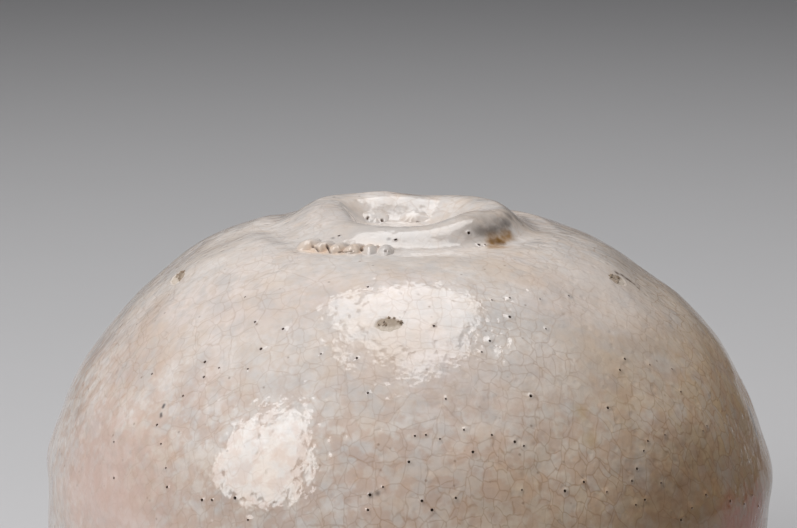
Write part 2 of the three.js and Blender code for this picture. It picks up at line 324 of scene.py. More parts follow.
class BowlForm(bpy.types.PropertyGroup):
    """Sizes of the bowl's round shape, over the glaze."""

    hip_diameter: length("Hip diameter", "Width at the widest part", 120)
    hip_height: length("Hip height", "From the lip up to the widest part", 35)
    hip_fullness: length("Hip fullness", "How far the wall runs on upright past the hip", 20)
    base_height: length("Base height", "From the lip up to the base round the foot", 76.7)
    base_margin: length("Base margin", "Level ring of the base round the foot", 3.3)
    base_fullness: length("Base fullness", "How far the base runs on level past its flat", 17)
    lip_diameter: length("Lip diameter", "Width over the lip", 114.5)
    lip_thickness: length("Lip thickness", "Thickness of the rounded lip", 5.4)
    lip_upright: length("Lip upright", "How far the wall rises straight from the lip", 9)
    wall_thickness: length("Wall thickness", "Thickness at the hip", 6.6)
    floor_thickness: length("Floor thickness", "From the floor to the base", 9)
    pool_diameter: length("Tea pool diameter", "Hollow in the floor where the last tea gathers", 28)
    pool_depth: length("Tea pool depth", "Depth of that hollow", 1.6)
    floor_margin: length("Floor margin", "Level ring of the floor round the tea pool", 3)
    floor_fullness: length("Floor fullness", "How far the floor runs on level past that ring", 16)
    glaze_thickness: length("Glaze thickness", "Thickness of the glaze coat", 0.9)
    bond_gap: length("Bond gap", "Thin gap that stands in for the bond of glaze and clay", 0.3)


class FootForm(bpy.types.PropertyGroup):
    """Sizes of the foot ring, over the glaze."""

    width: length("Foot width", "Across the root, left to right", 37.4)
    depth: length("Foot depth", "Across the root, front to back", 32.6)
    squareness: amount("Foot squareness", "2 is an oval, more is a rounded square", 2.8)
    turn: angle("Foot turn", "How far the outline is turned on the base", 8)
    shift: length("Foot shift", "How far the foot sits to the left of the middle", 1.6)
    fade: length("Foot fade", "How far past the root the foot's outline shapes the base", 12)
    height: length("Foot height", "Height of the crest over the base", 4.2)
    outer_flank: length("Outer flank", "From the root in to the crest", 5.1)
    crest_land: length("Crest land", "Width of the crest", 2.6)
    crest_soften: length("Crest soften", "How far the edge of the level crest is rounded", 0.45)
    root_spread: length("Root spread", "How far the glaze runs out past the root", 0.8)
    inner_flank: length("Inner flank", "From the crest in to the well", 5.6)
    crest_lean: length("Crest lean", "How far the crest leans to the right", 1.6)
    crest_swell: length("Crest swell", "Rubbed off the crest where the bowl stands", 0.3)
    front_dip: length("Front dip", "How far the worn front of the crest lies below the rest", 1.9)
    dip_turn: angle("Dip turn", "Where the worn front is", -17)
    dip_reach: angle("Dip reach", "How far the worn front reaches to each side", 55)


class HandWork(bpy.types.PropertyGroup):
    """Unevenness that the hand left in the bowl."""

    out_of_round: length("Out of round", "At the hip", 0.25)
    out_of_round_turn: angle("Out of round turn", "Where the bowl is widest", 35)
    left_shoulder: length("Left shoulder", "How far the shoulder is fuller on the left", 1.8)
    hip_ridge: length("Hip ridge", "Ridge at the right of the hip", 0.5)
    hip_ridge_rise: length("Hip ridge rise", "Above the hip", 4)
    hip_ridge_reach: length("Hip ridge reach", "Half height of the ridge", 5)
    lip_wave: length("Lip wave", "Rise of the lip between its peaks", 1.2)
    lip_peaks: IntProperty(name="Lip peaks", description="Peaks that the lip stands on", default=5)
    lip_peak_turn: angle("Lip peak turn", "Where the first peak is", 20)
    lip_wear: length("Lip wear", "Rubbed off those peaks", 0.3)
    dent_size: length("Dent size", "Width of the soft dents left by fingers", 26)
    dent_depth: length("Dent depth", "Depth of those dents", 0.12)
    swell_size: length("Swell size", "Width of the slow waves in the glaze", 9)
    swell_height: length("Swell height", "Height of those waves", 0.36)
    ripple_size: length("Ripple size", "Width of the small waves in the glaze", 3.6)
    ripple_height: length("Ripple height", "Height of those waves", 0.075)


class GlazeFlaws(bpy.types.PropertyGroup):
    """Sizes of the glaze's flaws and of its patterns."""

    pinhole_width: length("Pinhole width", "Width of a large pinhole", 0.56)
    pinhole_depth: length("Pinhole depth", "Depth of a pinhole", 0.45)
    pinhole_count: IntProperty(
        name="Pinhole count", description="Pinholes out of the front view", default=260
    )
    scar_length: length("Scar length", "Length of a spur scar", 4.2)
    scar_width: length("Scar width", "Width of a spur scar", 2.8)
    scar_depth: length("Scar depth", "Depth of a spur scar", 0.2)
    cake_cover: length("Cake cover", "How deep the cake of grit lies under the glaze's face", 0.06)
    crack_cell: length(
        "Crack cell", "Width between the long craze lines at the foot, half of it at the hip", 15
    )
    craze_cell: length("Craze cell", "Width between the craze lines that split those cells", 6.6)
    # A craze line is finer than a pixel, so its stain is drawn as wide as it needs to show
    craze_line: length("Craze line", "Half width of a craze line's soft stain at the foot", 0.54)
    cloud_size: length("Cloud size", "Width of the clouds in the glaze's colour", 15)
    mottle_size: length("Mottle size", "Width of the fine mottle in the glaze's colour", 1.1)
    thin_top: length("Thin top", "Height over the lip below which the glaze ran thin", 69)
    thin_reach: length("Thin reach", "How far below that it is thinnest", 16)
    thin_size: length("Thin size", "Width of the thin patches, where the clay shows through", 2.3)
    peel_size: length("Peel size", "Width of the dimples of the glaze's skin", 1.9)
    peel_depth: length("Peel depth", "Depth of those dimples", 0.15)
    pit_spacing: length("Pit spacing", "From one pit where a bubble healed to the next", 2.4)
    pit_depth: length("Pit depth", "Depth of those pits", 0.06)
    speck_spacing: length("Speck spacing", "From one brown speck to the next", 3.4)


class GlazeColours(bpy.types.PropertyGroup):
    """Colours of the glaze, clay and grit."""

    # White also gives painted light by the foot and on the right shoulder, and grey gives painted shade over
    # the foot.
    white: colour("White", "Thick clean glaze", "#e0d8d2")
    beige: colour("Beige", "Thin glaze over the clay", "#cfbdad")
    grey: colour("Grey", "Smoked clouds", "#c3bebb")
    pink: colour("Pink", "Blush of the clay through the glaze", "#d8bdb2")
    # Tan and brown darken the glaze towards the lower right: partly stained glaze and partly painted shade.
    tan: colour("Tan", "Warm glaze towards the lower right", "#caa878")
    brown: colour("Brown", "Stained glaze low on the right", "#8a6a4c")
    craze: colour("Craze", "Stain in the craze lines", "#936b45")
    speck: colour("Speck", "Brown specks", "#7d6450")
    # Hole is dark brown: in pinholes and bead openings it is partly the clay there and partly painted shade
    # in the recess; by the right scar it is smeared grit.
    hole: colour("Hole", "Inside a pinhole", "#5b483c")
    bare: colour("Bare", "Bare clay in a scar", "#d0c3b6")
    # Smoke and pale smoke are partly smoke marks and partly painted shade: round and on the lug, and above
    # the beads.
    smoke: colour("Smoke", "Smoke on the foot", "#5c544e")
    pale_smoke_and_shade: colour("Pale smoke", "Thin smoke and painted shade round the lug", "#8f857d")
    amber: colour("Amber", "Iron stain on the foot", "#8f651f")
    iron: colour("Iron", "Dark middle of the iron stain", "#654519")
    blush: colour("Blush", "Red blush near the lip", "#b8604c")
    slate: colour("Slate", "Dark spot on the hip", "#33353b")
    gold: colour("Gold", "Golden stain on the right", "#b79a6c")
    peach: colour("Peach", "Warm halo at the foot's root", "#e4c4a4")
    clay: colour("Clay", "Raku clay", "#b98e72")
    grit: colour("Grit", "Dark grains of spur grit", "#8a7763")
    grit_pale: colour("Pale grit", "Pale grains of spur grit", "#bfb1a1")


class StageSet(bpy.types.PropertyGroup):
    """Camera, lamps and floor."""

    camera_elevation: angle("Camera elevation", "Height of the camera over the horizon", 12)
    camera_distance: length("Camera distance", "From the camera to the point that it looks at", 600)
    camera_lens: FloatProperty(
        name="Camera lens", description="Focal length on a 36 mm wide sensor", default=163.4, unit="CAMERA"
    )
    camera_sensor: FloatProperty(
        name="Camera sensor", description="Width of the sensor", default=36, unit="CAMERA"
    )
    look_right: length("Look right", "Where the camera looks, to the right of the axis", -1.9)
    look_height: length("Look height", "Where the camera looks, above the lip", 71)
    lamp_distance: length("Lamp distance", "From the bowl to a lamp", 700)
    top_radiance: amount("Top lamp radiance", "How bright the lamp overhead is, where 1 shows as white", 4.1)
    top_width: length("Top lamp width", "Width of the lamp overhead", 440)
    top_depth: length("Top lamp depth", "Depth of the lamp overhead", 590)
    top_lean: angle("Top lamp lean", "How far the lamp overhead stands to the back", 5)
    broad_radiance: amount("Broad lamp radiance", "How bright the wide lamp round the lamp overhead is", 1.52)
    broad_width: length("Broad lamp width", "Width of that wide lamp", 900)
    side_radiance: amount("Side lamp radiance", "How bright the lamp at the left is", 5.9)
    side_width: length("Side lamp width", "Width of the lamp at the left", 360)
    side_height: length("Side lamp height", "Height of the lamp at the left", 540)
    side_turn: angle("Side lamp turn", "Where the lamp at the left stands", -50.6)
    side_elevation: angle("Side lamp elevation", "Height of that lamp over the horizon", 29.3)
    floor_size: length("Floor size", "Width of the floor", 6000)
    floor: colour("Floor", "Pale matt floor", "#c4c3c4")
    floor_mottle: colour("Floor mottle", "Faint mottle of the floor", "#bcbcbc")
    fill: colour("Fill", "Light from all round", "#2b2c30")


GROUPS = {
    "form": BowlForm,
    "foot": FootForm,
    "hand": HandWork,
    "flaws": GlazeFlaws,
    "colours": GlazeColours,
    "stage": StageSet,
}


class TeaBowl(bpy.types.PropertyGroup):
    """All settings of the tea bowl."""

    form: PointerProperty(type=BowlForm)
    foot: PointerProperty(type=FootForm)
    hand: PointerProperty(type=HandWork)
    flaws: PointerProperty(type=GlazeFlaws)
    colours: PointerProperty(type=GlazeColours)
    stage: PointerProperty(type=StageSet)


# Shape of the skin

def smoothstep(value, low, high):
    """0 below low, 1 above high, and a soft step between them."""
    share = np.clip((value - low) / (high - low), 0.0, 1.0)
    return share * share * (3.0 - 2.0 * share)


def bezier(points, shares):
    """Points at these shares of the run of a Bézier curve."""
    level = [np.asarray(point, float)[None, :] for point in points]
    while len(level) > 1:
        level = [a + (b - a) * shares[:, None] for a, b in zip(level, level[1:])]
    return level[0]


def even_run(points, spacing):
    """Points along a Bézier curve, about evenly spaced, without its last one."""
    shares = np.linspace(0, 1, CURVE_STEPS)
    steps = np.linalg.norm(np.diff(bezier(points, shares), axis=0), axis=1)
    along = np.concatenate([[0], np.cumsum(steps)])
    count = max(2, round(along[-1] / spacing))
    return bezier(points, np.interp(np.arange(count) / count * along[-1], along, shares))


def skin_outline(bowl):
    """The skin's outline as (distance from the axis, height), and the row where each coat starts."""
    form, foot = bowl.form, bowl.foot
    hip, lip, base = form.hip_diameter / 2, form.lip_diameter / 2, form.base_height
    edge = form.lip_thickness / 2
    middle = lip - edge
    handle = ROUND_HANDLE * edge
    inner_hip, inner_lip = hip - form.wall_thickness, lip - form.lip_thickness
    root = foot.width / 2
    crest = root - foot.outer_flank
    crest_inside = crest - foot.crest_land
    well = crest_inside - foot.inner_flank
    top = base + foot.height
    ridge = (crest_inside + crest) / 2
    inside, outside = (well + crest_inside) / 2, (root + crest) / 2
    shelf = root + form.base_margin
    well_edge, root_edge = well - foot.root_spread, root + foot.root_spread
    pool = form.pool_diameter / 2
    floor = pool + form.floor_margin
    ceiling = base - form.floor_thickness
    pool_top = ceiling + form.pool_depth
    runs = [
        ("foot", FOOT_ROW, [(0, base), (well_edge, base)]),
        ("foot", FOOT_ROW, [(well_edge, base), (inside, base), (inside, top), (ridge, top)]),
        ("foot", FOOT_ROW, [(ridge, top), (outside, top), (outside, base), (root_edge, base)]),
        ("outside", FOOT_ROW, [(root_edge, base), (shelf, base)]),
        ("outside", OUTSIDE_ROW, [
            (shelf, base), (shelf + form.base_fullness, base),
            (hip, form.hip_height + form.hip_fullness), (hip, form.hip_height),
        ]),
        ("outside", OUTSIDE_ROW, [
            (hip, form.hip_height), (hip, form.hip_height - form.hip_fullness),
            (lip, edge + form.lip_upright), (lip, edge),
        ]),
        ("lip", LIP_ROW, [(lip, edge), (lip, edge - handle), (middle + handle, 0), (middle, 0)]),
        ("lip", LIP_ROW, [(middle, 0), (middle - handle, 0), (inner_lip, edge - handle), (inner_lip, edge)]),
        ("inside", INSIDE_ROW, [
            (inner_lip, edge), (inner_lip, edge + form.lip_upright),
            (inner_hip, form.hip_height - form.hip_fullness), (inner_hip, form.hip_height),
        ]),
        ("inside", INSIDE_ROW, [
            (inner_hip, form.hip_height),
            (inner_hip, form.hip_height + form.hip_fullness - form.wall_thickness),
            (floor + form.floor_fullness, ceiling), (floor, ceiling),
        ]),
        ("inside", INSIDE_ROW, [(floor, ceiling), (pool, ceiling)]),
        ("inside", INSIDE_ROW, [(pool, ceiling), (pool / 2, ceiling), (pool / 2, pool_top), (0, pool_top)]),
    ]
    rows = []
    starts = {}
    for coat, spacing, points in runs:
        starts.setdefault(coat, len(rows))
        rows.extend(even_run(points, spacing))
    rows.append(np.array((0, pool_top)))
    return np.array(rows), starts


def foot_outline(foot, turn):
    """Distance from the axis to the foot's root."""
    along = np.abs(np.sin(turn - foot.turn)) / (foot.width / 2)
    across = np.abs(np.cos(turn - foot.turn)) / (foot.depth / 2)
    return (along ** foot.squareness + across ** foot.squareness) ** (-1 / foot.squareness)


def turn_from(middle, turn):
    """How far each turn is from a middle one, at most half a turn to either side."""
    return (turn - middle + math.pi) % FULL_TURN - math.pi


def crest_height(foot, turn):
    """Height of the foot's crest over the base, before it is rubbed level."""
    away = turn_from(foot.dip_turn, turn)
    return foot.height + foot.crest_swell - foot.front_dip * np.exp(-((away / foot.dip_reach) ** 4))


def pushes(places, turn):
    """How far the foot is pushed outwards at each turn."""
    push = np.zeros_like(turn)
    for middle, reach, out in places.values():
        away = turn_from(math.radians(middle), turn)
        push += out * MM * np.exp(-((away / math.radians(reach)) ** 2))
    return push


def rub_level(rise, limit, soften):
    """Heights held under a limit, with a rounded edge."""
    near = np.clip(rise - limit + soften, 0, 2 * soften)
    return np.minimum(rise, limit + soften) - near ** 2 / (4 * soften)


def press_lumps(points, turn):
    """Heights of the wall's lumps over the smooth shape, along its normals."""
    rise = np.zeros(points.shape[:-1])
    for middle, height, reach_round, reach_up, out in WALL_LUMPS.values():
        away = turn_from(math.radians(middle), turn)
        up = (points[..., 2] - height * MM) / (reach_up * MM)
        rise += out * MM * np.exp(-((away / math.radians(reach_round)) ** 2) - up ** 2)
    return rise


def raise_foot(form, points):
    """Heights of the foot's lumps over the smooth shape, upwards."""
    rise = np.zeros(points.shape[:-1])
    for right, back, reach, up in FOOT_LUMPS.values():
        away = np.hypot(points[..., 0] - right * MM, points[..., 1] - back * MM) / (reach * MM)
        rise += up * MM * np.exp(-away ** 2)
    pool_top = form.base_height - form.floor_thickness + form.pool_depth
    return rise * smoothstep(points[..., 2], pool_top, form.base_height - form.glaze_thickness)


def form_by_hand(bowl, turn, r, z):
    """Takes points of the round shape to their places on the bowl as the hand left it."""
    form, foot, hand = bowl.form, bowl.foot, bowl.hand
    root, hip = foot.width / 2, form.hip_diameter / 2
    ceiling = form.base_height - form.floor_thickness
    near_foot = 1 - smoothstep(r, root, root + foot.fade)
    near_root = near_foot * smoothstep(r, root - foot.outer_flank, root)
    on_base = near_foot * smoothstep(z, ceiling, form.base_height - form.glaze_thickness)
    outline = foot_outline(foot, turn) + near_root * pushes(ROOT_PUSHES, turn)
    r = r * (1 + on_base * (outline / root - 1))
    rise = np.clip((z - form.hip_height) / (form.base_height - form.hip_height), 0, 1)
    on_shoulder = 27 / 4 * rise ** 2 * (1 - rise)  # 1 at its highest, two thirds of the way up
    on_ridge = np.exp(-(((z - form.hip_height - hand.hip_ridge_rise) / hand.hip_ridge_reach) ** 2))
    swell = hand.out_of_round * np.cos(2 * (turn - hand.out_of_round_turn))
    swell = swell - hand.left_shoulder * on_shoulder * np.sin(turn)
    swell = swell + hand.hip_ridge * on_ridge * np.maximum(0, np.sin(turn)) ** 4
    r = r * (1 + swell / hip)
    over = np.maximum(z - form.base_height, 0)
    r = r + pushes(CREST_PUSHES, turn) * over / foot.height
    right = foot.crest_lean * over / foot.height - foot.shift * on_base
    crest = rub_level(over * crest_height(foot, turn) / foot.height, foot.height, foot.crest_soften)
    z = np.where(over > 0, form.base_height + crest, z)
    wave = hand.lip_wave * (1 - np.cos(hand.lip_peaks * (turn - hand.lip_peak_turn))) / 2 - hand.lip_wear
    z = np.maximum(z + wave * (1 - smoothstep(z, 0, form.hip_height)), 0)
    return np.stack([right + r * np.sin(turn), -r * np.cos(turn), z], axis=-1)


def waves(points, size, seed):
    """Soft noise from -1 to 1 at each point, with waves of this size."""
    flat = points.reshape(-1, 3) / size + seed
    return np.array([noise.noise(point) for point in flat.tolist()]).reshape(points.shape[:-1])


def flat_radius(outline):
    """Distance of each row from the middle of the flat spread, which is pulled outwards down the wall."""
    steps = np.linalg.norm(np.diff(outline, axis=0), axis=1)
    radius = [0.0]
    for step, r in zip(steps, outline[1:, 0]):
        pull = SPREAD_PULL * radius[-1] / max(r, MM)
        radius.append(radius[-1] + step * min(max(pull, 1), SPREAD_LIMIT))
    return np.array(radius)


def spread_flat(outline, turn):
    """The face spread out flat, for its patterns, from the well outwards and from the floor outwards."""
    flat = np.stack([np.sin(turn), -np.cos(turn), np.zeros_like(turn)], axis=-1)
    from_well, from_floor = flat_radius(outline), flat_radius(outline[::-1])[::-1]
    return from_well[:, None, None] * flat, from_floor[:, None, None] * flat


def mesh_of(name, points, faces):
    """A smooth mesh of these faces, and the numbers of the points that they use."""
    used = np.unique(np.concatenate([np.array(face) for face in faces]))
    renumber = np.zeros(len(points), int)
    renumber[used] = np.arange(len(used))
    mesh = bpy.data.meshes.new(name)
    mesh.from_pydata(points[used].tolist(), [], [renumber[list(face)].tolist() for face in faces])
    mesh.shade_smooth()
    return mesh, used


class Skin:
    """The glaze's face as a grid: rows run from the well to the floor, columns round the bowl."""

    def __init__(self, bowl):
        outline, self.starts = skin_outline(bowl)
        self.rows = len(outline)
        self.thickness = bowl.form.glaze_thickness
        turn = np.linspace(0, FULL_TURN, COLUMNS, endpoint=False)[None, :]
        self.points = form_by_hand(bowl, turn, outline[:, :1], outline[:, 1:])
        self.points[..., 2] += raise_foot(bowl.form, self.points)
        wall = (np.arange(self.rows) < self.starts["lip"])[:, None]
        self.push(press_lumps(self.points, turn) * wall * self.off_floor(bowl))
        self.smooth = self.points
        self.push(self.unevenness(bowl) * self.off_floor(bowl))
        self.spreads = spread_flat(outline, turn)
        self.whole = np.ones((self.rows - 1, COLUMNS), bool)
        self.sunk_points = []
        self.sunk_spots = []
        self.sunk_marks = []
        self.sunk_faces = []
        self.sunk_rows = []

    def unevenness(self, bowl):
        """How far the face stands out from the smooth shape: dents of fingers and waves in the glaze."""
        hand = bowl.hand
        dents = hand.dent_depth * waves(self.smooth, hand.dent_size, DENT_SEED)
        swells = hand.swell_height * waves(self.smooth, hand.swell_size, SWELL_SEED)
        ripples = hand.ripple_height * waves(self.smooth, hand.ripple_size, RIPPLE_SEED)
        return dents + swells + ripples

    def off_floor(self, bowl):
        """0 where the lip stands on the floor, and 1 above the lip."""
        return smoothstep(self.points[..., 2], 0, bowl.form.lip_thickness)

    def push(self, rise):
        """Moves the face along its normals."""
        self.points = self.points + self.grid_normals() * rise[..., None]
        self.normals = self.grid_normals()

    def grid_normals(self):
        """Normals of the face, out of the glaze."""
        down = np.gradient(self.points, axis=0)
        around = np.roll(self.points, -1, axis=1) - np.roll(self.points, 1, axis=1)
        normals = np.cross(down, around)
        normals[0] = (0, 0, 1)
        normals[-1] = (0, 0, -1)
        return normals / np.linalg.norm(normals, axis=-1, keepdims=True)

    def index(self, row, column):
        """Number of a grid point. A pole is one point."""
        on_pole = row in (0, self.rows - 1)
        return row * COLUMNS + (0 if on_pole else column % COLUMNS)

    def at(self, grid, u, v):
        """Values of a grid between its points."""
        row = np.clip(np.floor(u).astype(int), 0, self.rows - 2)
        column = np.floor(v).astype(int)
        down, along = (u - row)[:, None], (v - column)[:, None]
        near, far = column % COLUMNS, (column + 1) % COLUMNS
        upper = grid[row, near] * (1 - along) + grid[row, far] * along
        lower = grid[row + 1, near] * (1 - along) + grid[row + 1, far] * along
        return upper * (1 - down) + lower * down

    def tree(self):
        """The outside of the skin for ray casts. Its faces count row by row."""
        last = self.starts["lip"]
        corners = [
            (r * COLUMNS + c, (r + 1) * COLUMNS + c, (r + 1) * COLUMNS + d, r * COLUMNS + d)
            for r in range(last)
            for c, d in zip(range(COLUMNS), [*range(1, COLUMNS), 0])
        ]
        return BVHTree.FromPolygons(self.points[:last + 1].reshape(-1, 3).tolist(), corners)

    def spot(self, hit, face):
        """Row and column, with shares, of a point on a face of the tree."""
        row, column = divmod(face, COLUMNS)
        corner = self.points[row, column]
        down = self.points[row + 1, column] - corner
        along = self.points[row, (column + 1) % COLUMNS] - corner
        off = np.array(hit) - corner
        return row + off @ down / (down @ down), column + off @ along / (along @ along)

    def steps(self, spot):
        """Lengths of the steps from row to row and from column to column at a spot."""
        row, column = round(spot[0]), round(spot[1]) % COLUMNS
        down = self.points[row + 1, column] - self.points[row - 1, column]
        along = self.points[row, (column + 1) % COLUMNS] - self.points[row, column - 1]
        return np.linalg.norm(down) / 2, np.linalg.norm(along) / 2

    def sink(self, u, v, radius_at, rings):
        """Replaces the patch round a spot by rings that step into the glaze.

        radius_at gives the flaw's radius towards an angle, 0 being down the wall and a right angle being
        round the bowl. Each ring is (share of that radius, height, pinhole mark, bare mark).
        False where there is no room.
        """
        row, column = round(u), round(v)
        row_step, column_step = self.steps((u, v))
        reach = rings[0][0] * max(radius_at(a) for a in np.linspace(0, FULL_TURN, REACH_SAMPLES))
        half_rows = math.ceil(reach / row_step + 0.5)  # the spot is up to half a step off a grid point
        half_columns = math.ceil(reach / column_step + 0.5)
        top, bottom = row - half_rows, row + half_rows
        left, right = column - half_columns, column + half_columns
        block = np.ix_(range(top, bottom), np.arange(left, right) % COLUMNS)
        if top < 1 or bottom > self.rows - 2 or not self.whole[block].all():
            return False
        self.whole[block] = False
        loop = [(r, left) for r in range(top, bottom)] + [(bottom, c) for c in range(left, right)]
        loop += [(r, right) for r in range(bottom, top, -1)] + [(top, c) for c in range(right, left, -1)]
        angles = np.array([math.atan2((c - v) * column_step, (r - u) * row_step) for r, c in loop])
        radius = np.array([radius_at(a) for a in angles])
        outer = [self.index(r, c) for r, c in loop]
        for share, height, hole, bare in rings:
            reach_u = u + np.cos(angles) * radius * share / row_step
            reach_v = v + np.sin(angles) * radius * share / column_step
            inner = self.add_sunk(reach_u, reach_v, height, hole, bare)
            self.add_faces(top, [
                (a, b, d, c) for a, b, c, d in zip(outer, outer[1:] + outer[:1], inner, inner[1:] + inner[:1])
            ])
            outer = inner
        _, height, hole, bare = rings[-1]
        middle = self.add_sunk(np.array([u]), np.array([v]), height, hole, bare)[0]
        self.add_faces(top, [(a, b, middle) for a, b in zip(outer, outer[1:] + outer[:1])])
        return True

    def add_sunk(self, u, v, height, hole, bare):
        """Adds points at a height over the face and returns their numbers."""
        normals = self.at(self.normals, u, v)
        normals /= np.linalg.norm(normals, axis=1, keepdims=True)
        first = self.rows * COLUMNS + len(self.sunk_points)
        self.sunk_points.extend(self.at(self.points, u, v) + normals * height)
        self.sunk_spots.extend(zip(u, v))
        self.sunk_marks.extend([(hole, bare)] * len(u))
        return list(range(first, first + len(u)))

    def add_faces(self, row, faces):
        """Keeps faces of a sunk patch with the row that it starts in."""
        self.sunk_faces.extend(faces)
        self.sunk_rows.extend([row] * len(faces))

    def coat_mesh(self, name, first, last):
        """One coat as a closed mesh: its face, its back against the clay, and its two edges."""
        faces = []
        for row in range(first, last):
            for column in np.flatnonzero(self.whole[row]).tolist():
                corners = [(row, column), (row + 1, column), (row + 1, column + 1), (row, column + 1)]
                faces.append(tuple(dict.fromkeys(self.index(r, c) for r, c in corners)))
        faces += [f for f, row in zip(self.sunk_faces, self.sunk_rows) if first <= row < last]
        every = np.concatenate([self.points.reshape(-1, 3), np.array(self.sunk_points).reshape(-1, 3)])
        back_rows = np.unique(np.linspace(first, last, BACK_ROWS).round().astype(int))
        back = self.smooth[back_rows] - self.normals[back_rows] * self.thickness
        base = len(every)

        def behind(step, column):
            on_pole = back_rows[step] in (0, self.rows - 1)
            return base + step * COLUMNS + (0 if on_pole else column % COLUMNS)

        for step in range(len(back_rows) - 1):
            for c in range(COLUMNS):
                corners = [behind(step, c), behind(step, c + 1), behind(step + 1, c + 1), behind(step + 1, c)]
                faces.append(tuple(dict.fromkeys(corners)))
        ends = [(first, 0, 1), (last, len(back_rows) - 1, -1)]
        for row, step, way in ends:
            if row in (0, self.rows - 1):
                continue
            for c in range(COLUMNS):
                edge = (self.index(row, c), self.index(row, c + 1), behind(step, c + 1), behind(step, c))
                faces.append(edge[::way])
        mesh, used = mesh_of(name, np.concatenate([every, back.reshape(-1, 3)]), faces)
        self.mark(mesh, used, self.spreads[1 if last == self.rows - 1 else 0])
        self.set_normals(mesh, used, (first, last))
        return mesh

    def mark(self, mesh, used, spread):
        """Writes each point's place on the flat spread, and how far it lies in a pinhole or on bare clay."""
        grid, sunk = self.rows * COLUMNS, len(self.sunk_points)
        flat = np.zeros((max(used.max() + 1, grid + sunk), 3), np.float32)
        flat[:grid] = spread.reshape(-1, 3)
        flat[grid:grid + sunk] = self.at(spread, *np.array(self.sunk_spots).T)
        layer = mesh.attributes.new("spread", "FLOAT_VECTOR", "POINT")
        layer.data.foreach_set("vector", flat[used].ravel())
        marks = np.zeros((len(flat), 2), np.float32)
        marks[grid:grid + sunk] = self.sunk_marks
        for column, name in enumerate(("hole", "bare")):
            layer = mesh.attributes.new(name, "FLOAT", "POINT")
            layer.data.foreach_set("value", marks[used, column])

    def clay_mesh(self, name, depth):
        """The clay under the glaze, as one closed mesh this deep under the smooth face."""
        rows = np.unique(np.linspace(0, self.rows - 1, CLAY_ROWS).round().astype(int))
        columns = np.arange(0, COLUMNS, CLAY_COLUMN_STEP)
        grid = np.ix_(rows, columns)
        points = self.smooth[grid] - self.normals[grid] * depth
        count = len(columns)
        poles = (0, len(rows) - 1)
        faces = []
        for row in range(len(rows) - 1):
            for c, d in zip(range(count), [*range(1, count), 0]):
                corners = [(row, c), (row + 1, c), (row + 1, d), (row, d)]
                faces.append(tuple(dict.fromkeys(r * count + (0 if r in poles else k) for r, k in corners)))
        return mesh_of(name, points.reshape(-1, 3), faces)[0]

    def set_normals(self, mesh, used, ends):
        """Gives the points where two coats meet one shared normal, so that the seam doesn't show."""
        normals = np.zeros(len(used) * 3, np.float32)
        mesh.vertex_normals.foreach_get("vector", normals)
        normals = normals.reshape(-1, 3)
        row = used // COLUMNS
        for end in ends:
            here = (row == end) & (used < self.rows * COLUMNS)
            normals[here] = self.normals[end, used[here] % COLUMNS]
        mesh.normals_split_custom_set_from_vertices(normals.tolist())


# Places given by pixels of the photograph

def camera_frame(stage):
    """The camera's place and its ways right, up and forward."""
    rise = stage.camera_elevation
    forward = Vector((0, math.cos(rise), -math.sin(rise)))
    up = Vector((0, math.sin(rise), math.cos(rise)))
    target = Vector((stage.look_right, 0, stage.look_height))
    return target - forward * stage.camera_distance, Vector((1, 0, 0)), up, forward


def focal_pixels(stage):
    """The camera's focal length in pixels of the photograph."""
    return stage.camera_lens / stage.camera_sensor * IMAGE_WIDTH


def cast(bowl, tree, pixel):
    """Where the bowl shows at a pixel of the photograph, and the number of the face that is hit there."""
    eye, right, up, forward = camera_frame(bowl.stage)
    across, above = pixel[0] - IMAGE_WIDTH / 2, IMAGE_HEIGHT / 2 - pixel[1]
    ray = forward * focal_pixels(bowl.stage) + right * across + up * above
    hit, _, face, _ = tree.ray_cast(eye, ray.normalized())
    if hit is None:
        raise ValueError(f"no part of the bowl shows at pixel {pixel}")
    return hit, face


def pixel_of(stage, point):
    """The pixel of the photograph where a point shows."""
    eye, right, up, forward = camera_frame(stage)
    off = Vector(point) - eye
    scale = focal_pixels(stage) / off.dot(forward)
    return Vector((IMAGE_WIDTH / 2 + off.dot(right) * scale, IMAGE_HEIGHT / 2 - off.dot(up) * scale))


def shows(stage, point, normal):
    """True where a point of the bowl faces the camera and lies in the picture."""
    x, y = pixel_of(stage, point)
    inside = 0 < x < IMAGE_WIDTH and 0 < y < IMAGE_HEIGHT
    return inside and (camera_frame(stage)[0] - point).dot(normal) > 0


# Flaws in the skin

def sink_pinhole(bowl, skin, spot, share):
    """One pinhole of this share of the full size: a low rim where the bubble healed, then a steep drop."""
    width, depth = bowl.flaws.pinhole_width * share, bowl.flaws.pinhole_depth * share
    rim = PINHOLE_RIM * width
    rings = [(reach, up * rim - down * depth, dark, 0) for reach, up, down, dark in PINHOLE_RINGS]
    skin.sink(*spot, lambda angle: width / 2, rings)


def sink_seen_pinholes(bowl, skin, tree, rng):
    """The pinholes that the photograph shows."""
    for pixel in PINHOLES_LEFT + PINHOLES_MIDDLE + PINHOLES_RIGHT + PINHOLES_FOOT:
        sink_pinhole(bowl, skin, skin.spot(*cast(bowl, tree, pixel)), rng.uniform(*PINHOLES_SEEN))


def sink_hidden_pinholes(bowl, skin, rng):
    """Pinholes on the sides that the photograph doesn't show, as close together as on the front."""
    first, last = skin.starts["outside"], skin.starts["lip"]
    rounds = np.linalg.norm(skin.points[first:last, :, :2], axis=-1).mean(axis=1)
    steps = np.linalg.norm(skin.points[first + 1:last + 1, 0] - skin.points[first:last, 0], axis=-1)
    chance = rounds * steps / (rounds * steps).sum()
    for _ in range(bowl.flaws.pinhole_count):
        row = first + rng.choice(last - first, p=chance)
        u, v = row + rng.uniform(0, 1), rng.uniform(0, COLUMNS)
        share = rng.uniform(*PINHOLES_HIDDEN)
        near = (row, int(v) % COLUMNS)
        if not shows(bowl.stage, Vector(skin.points[near]), Vector(skin.normals[near])):
            sink_pinhole(bowl, skin, (u, v), share)


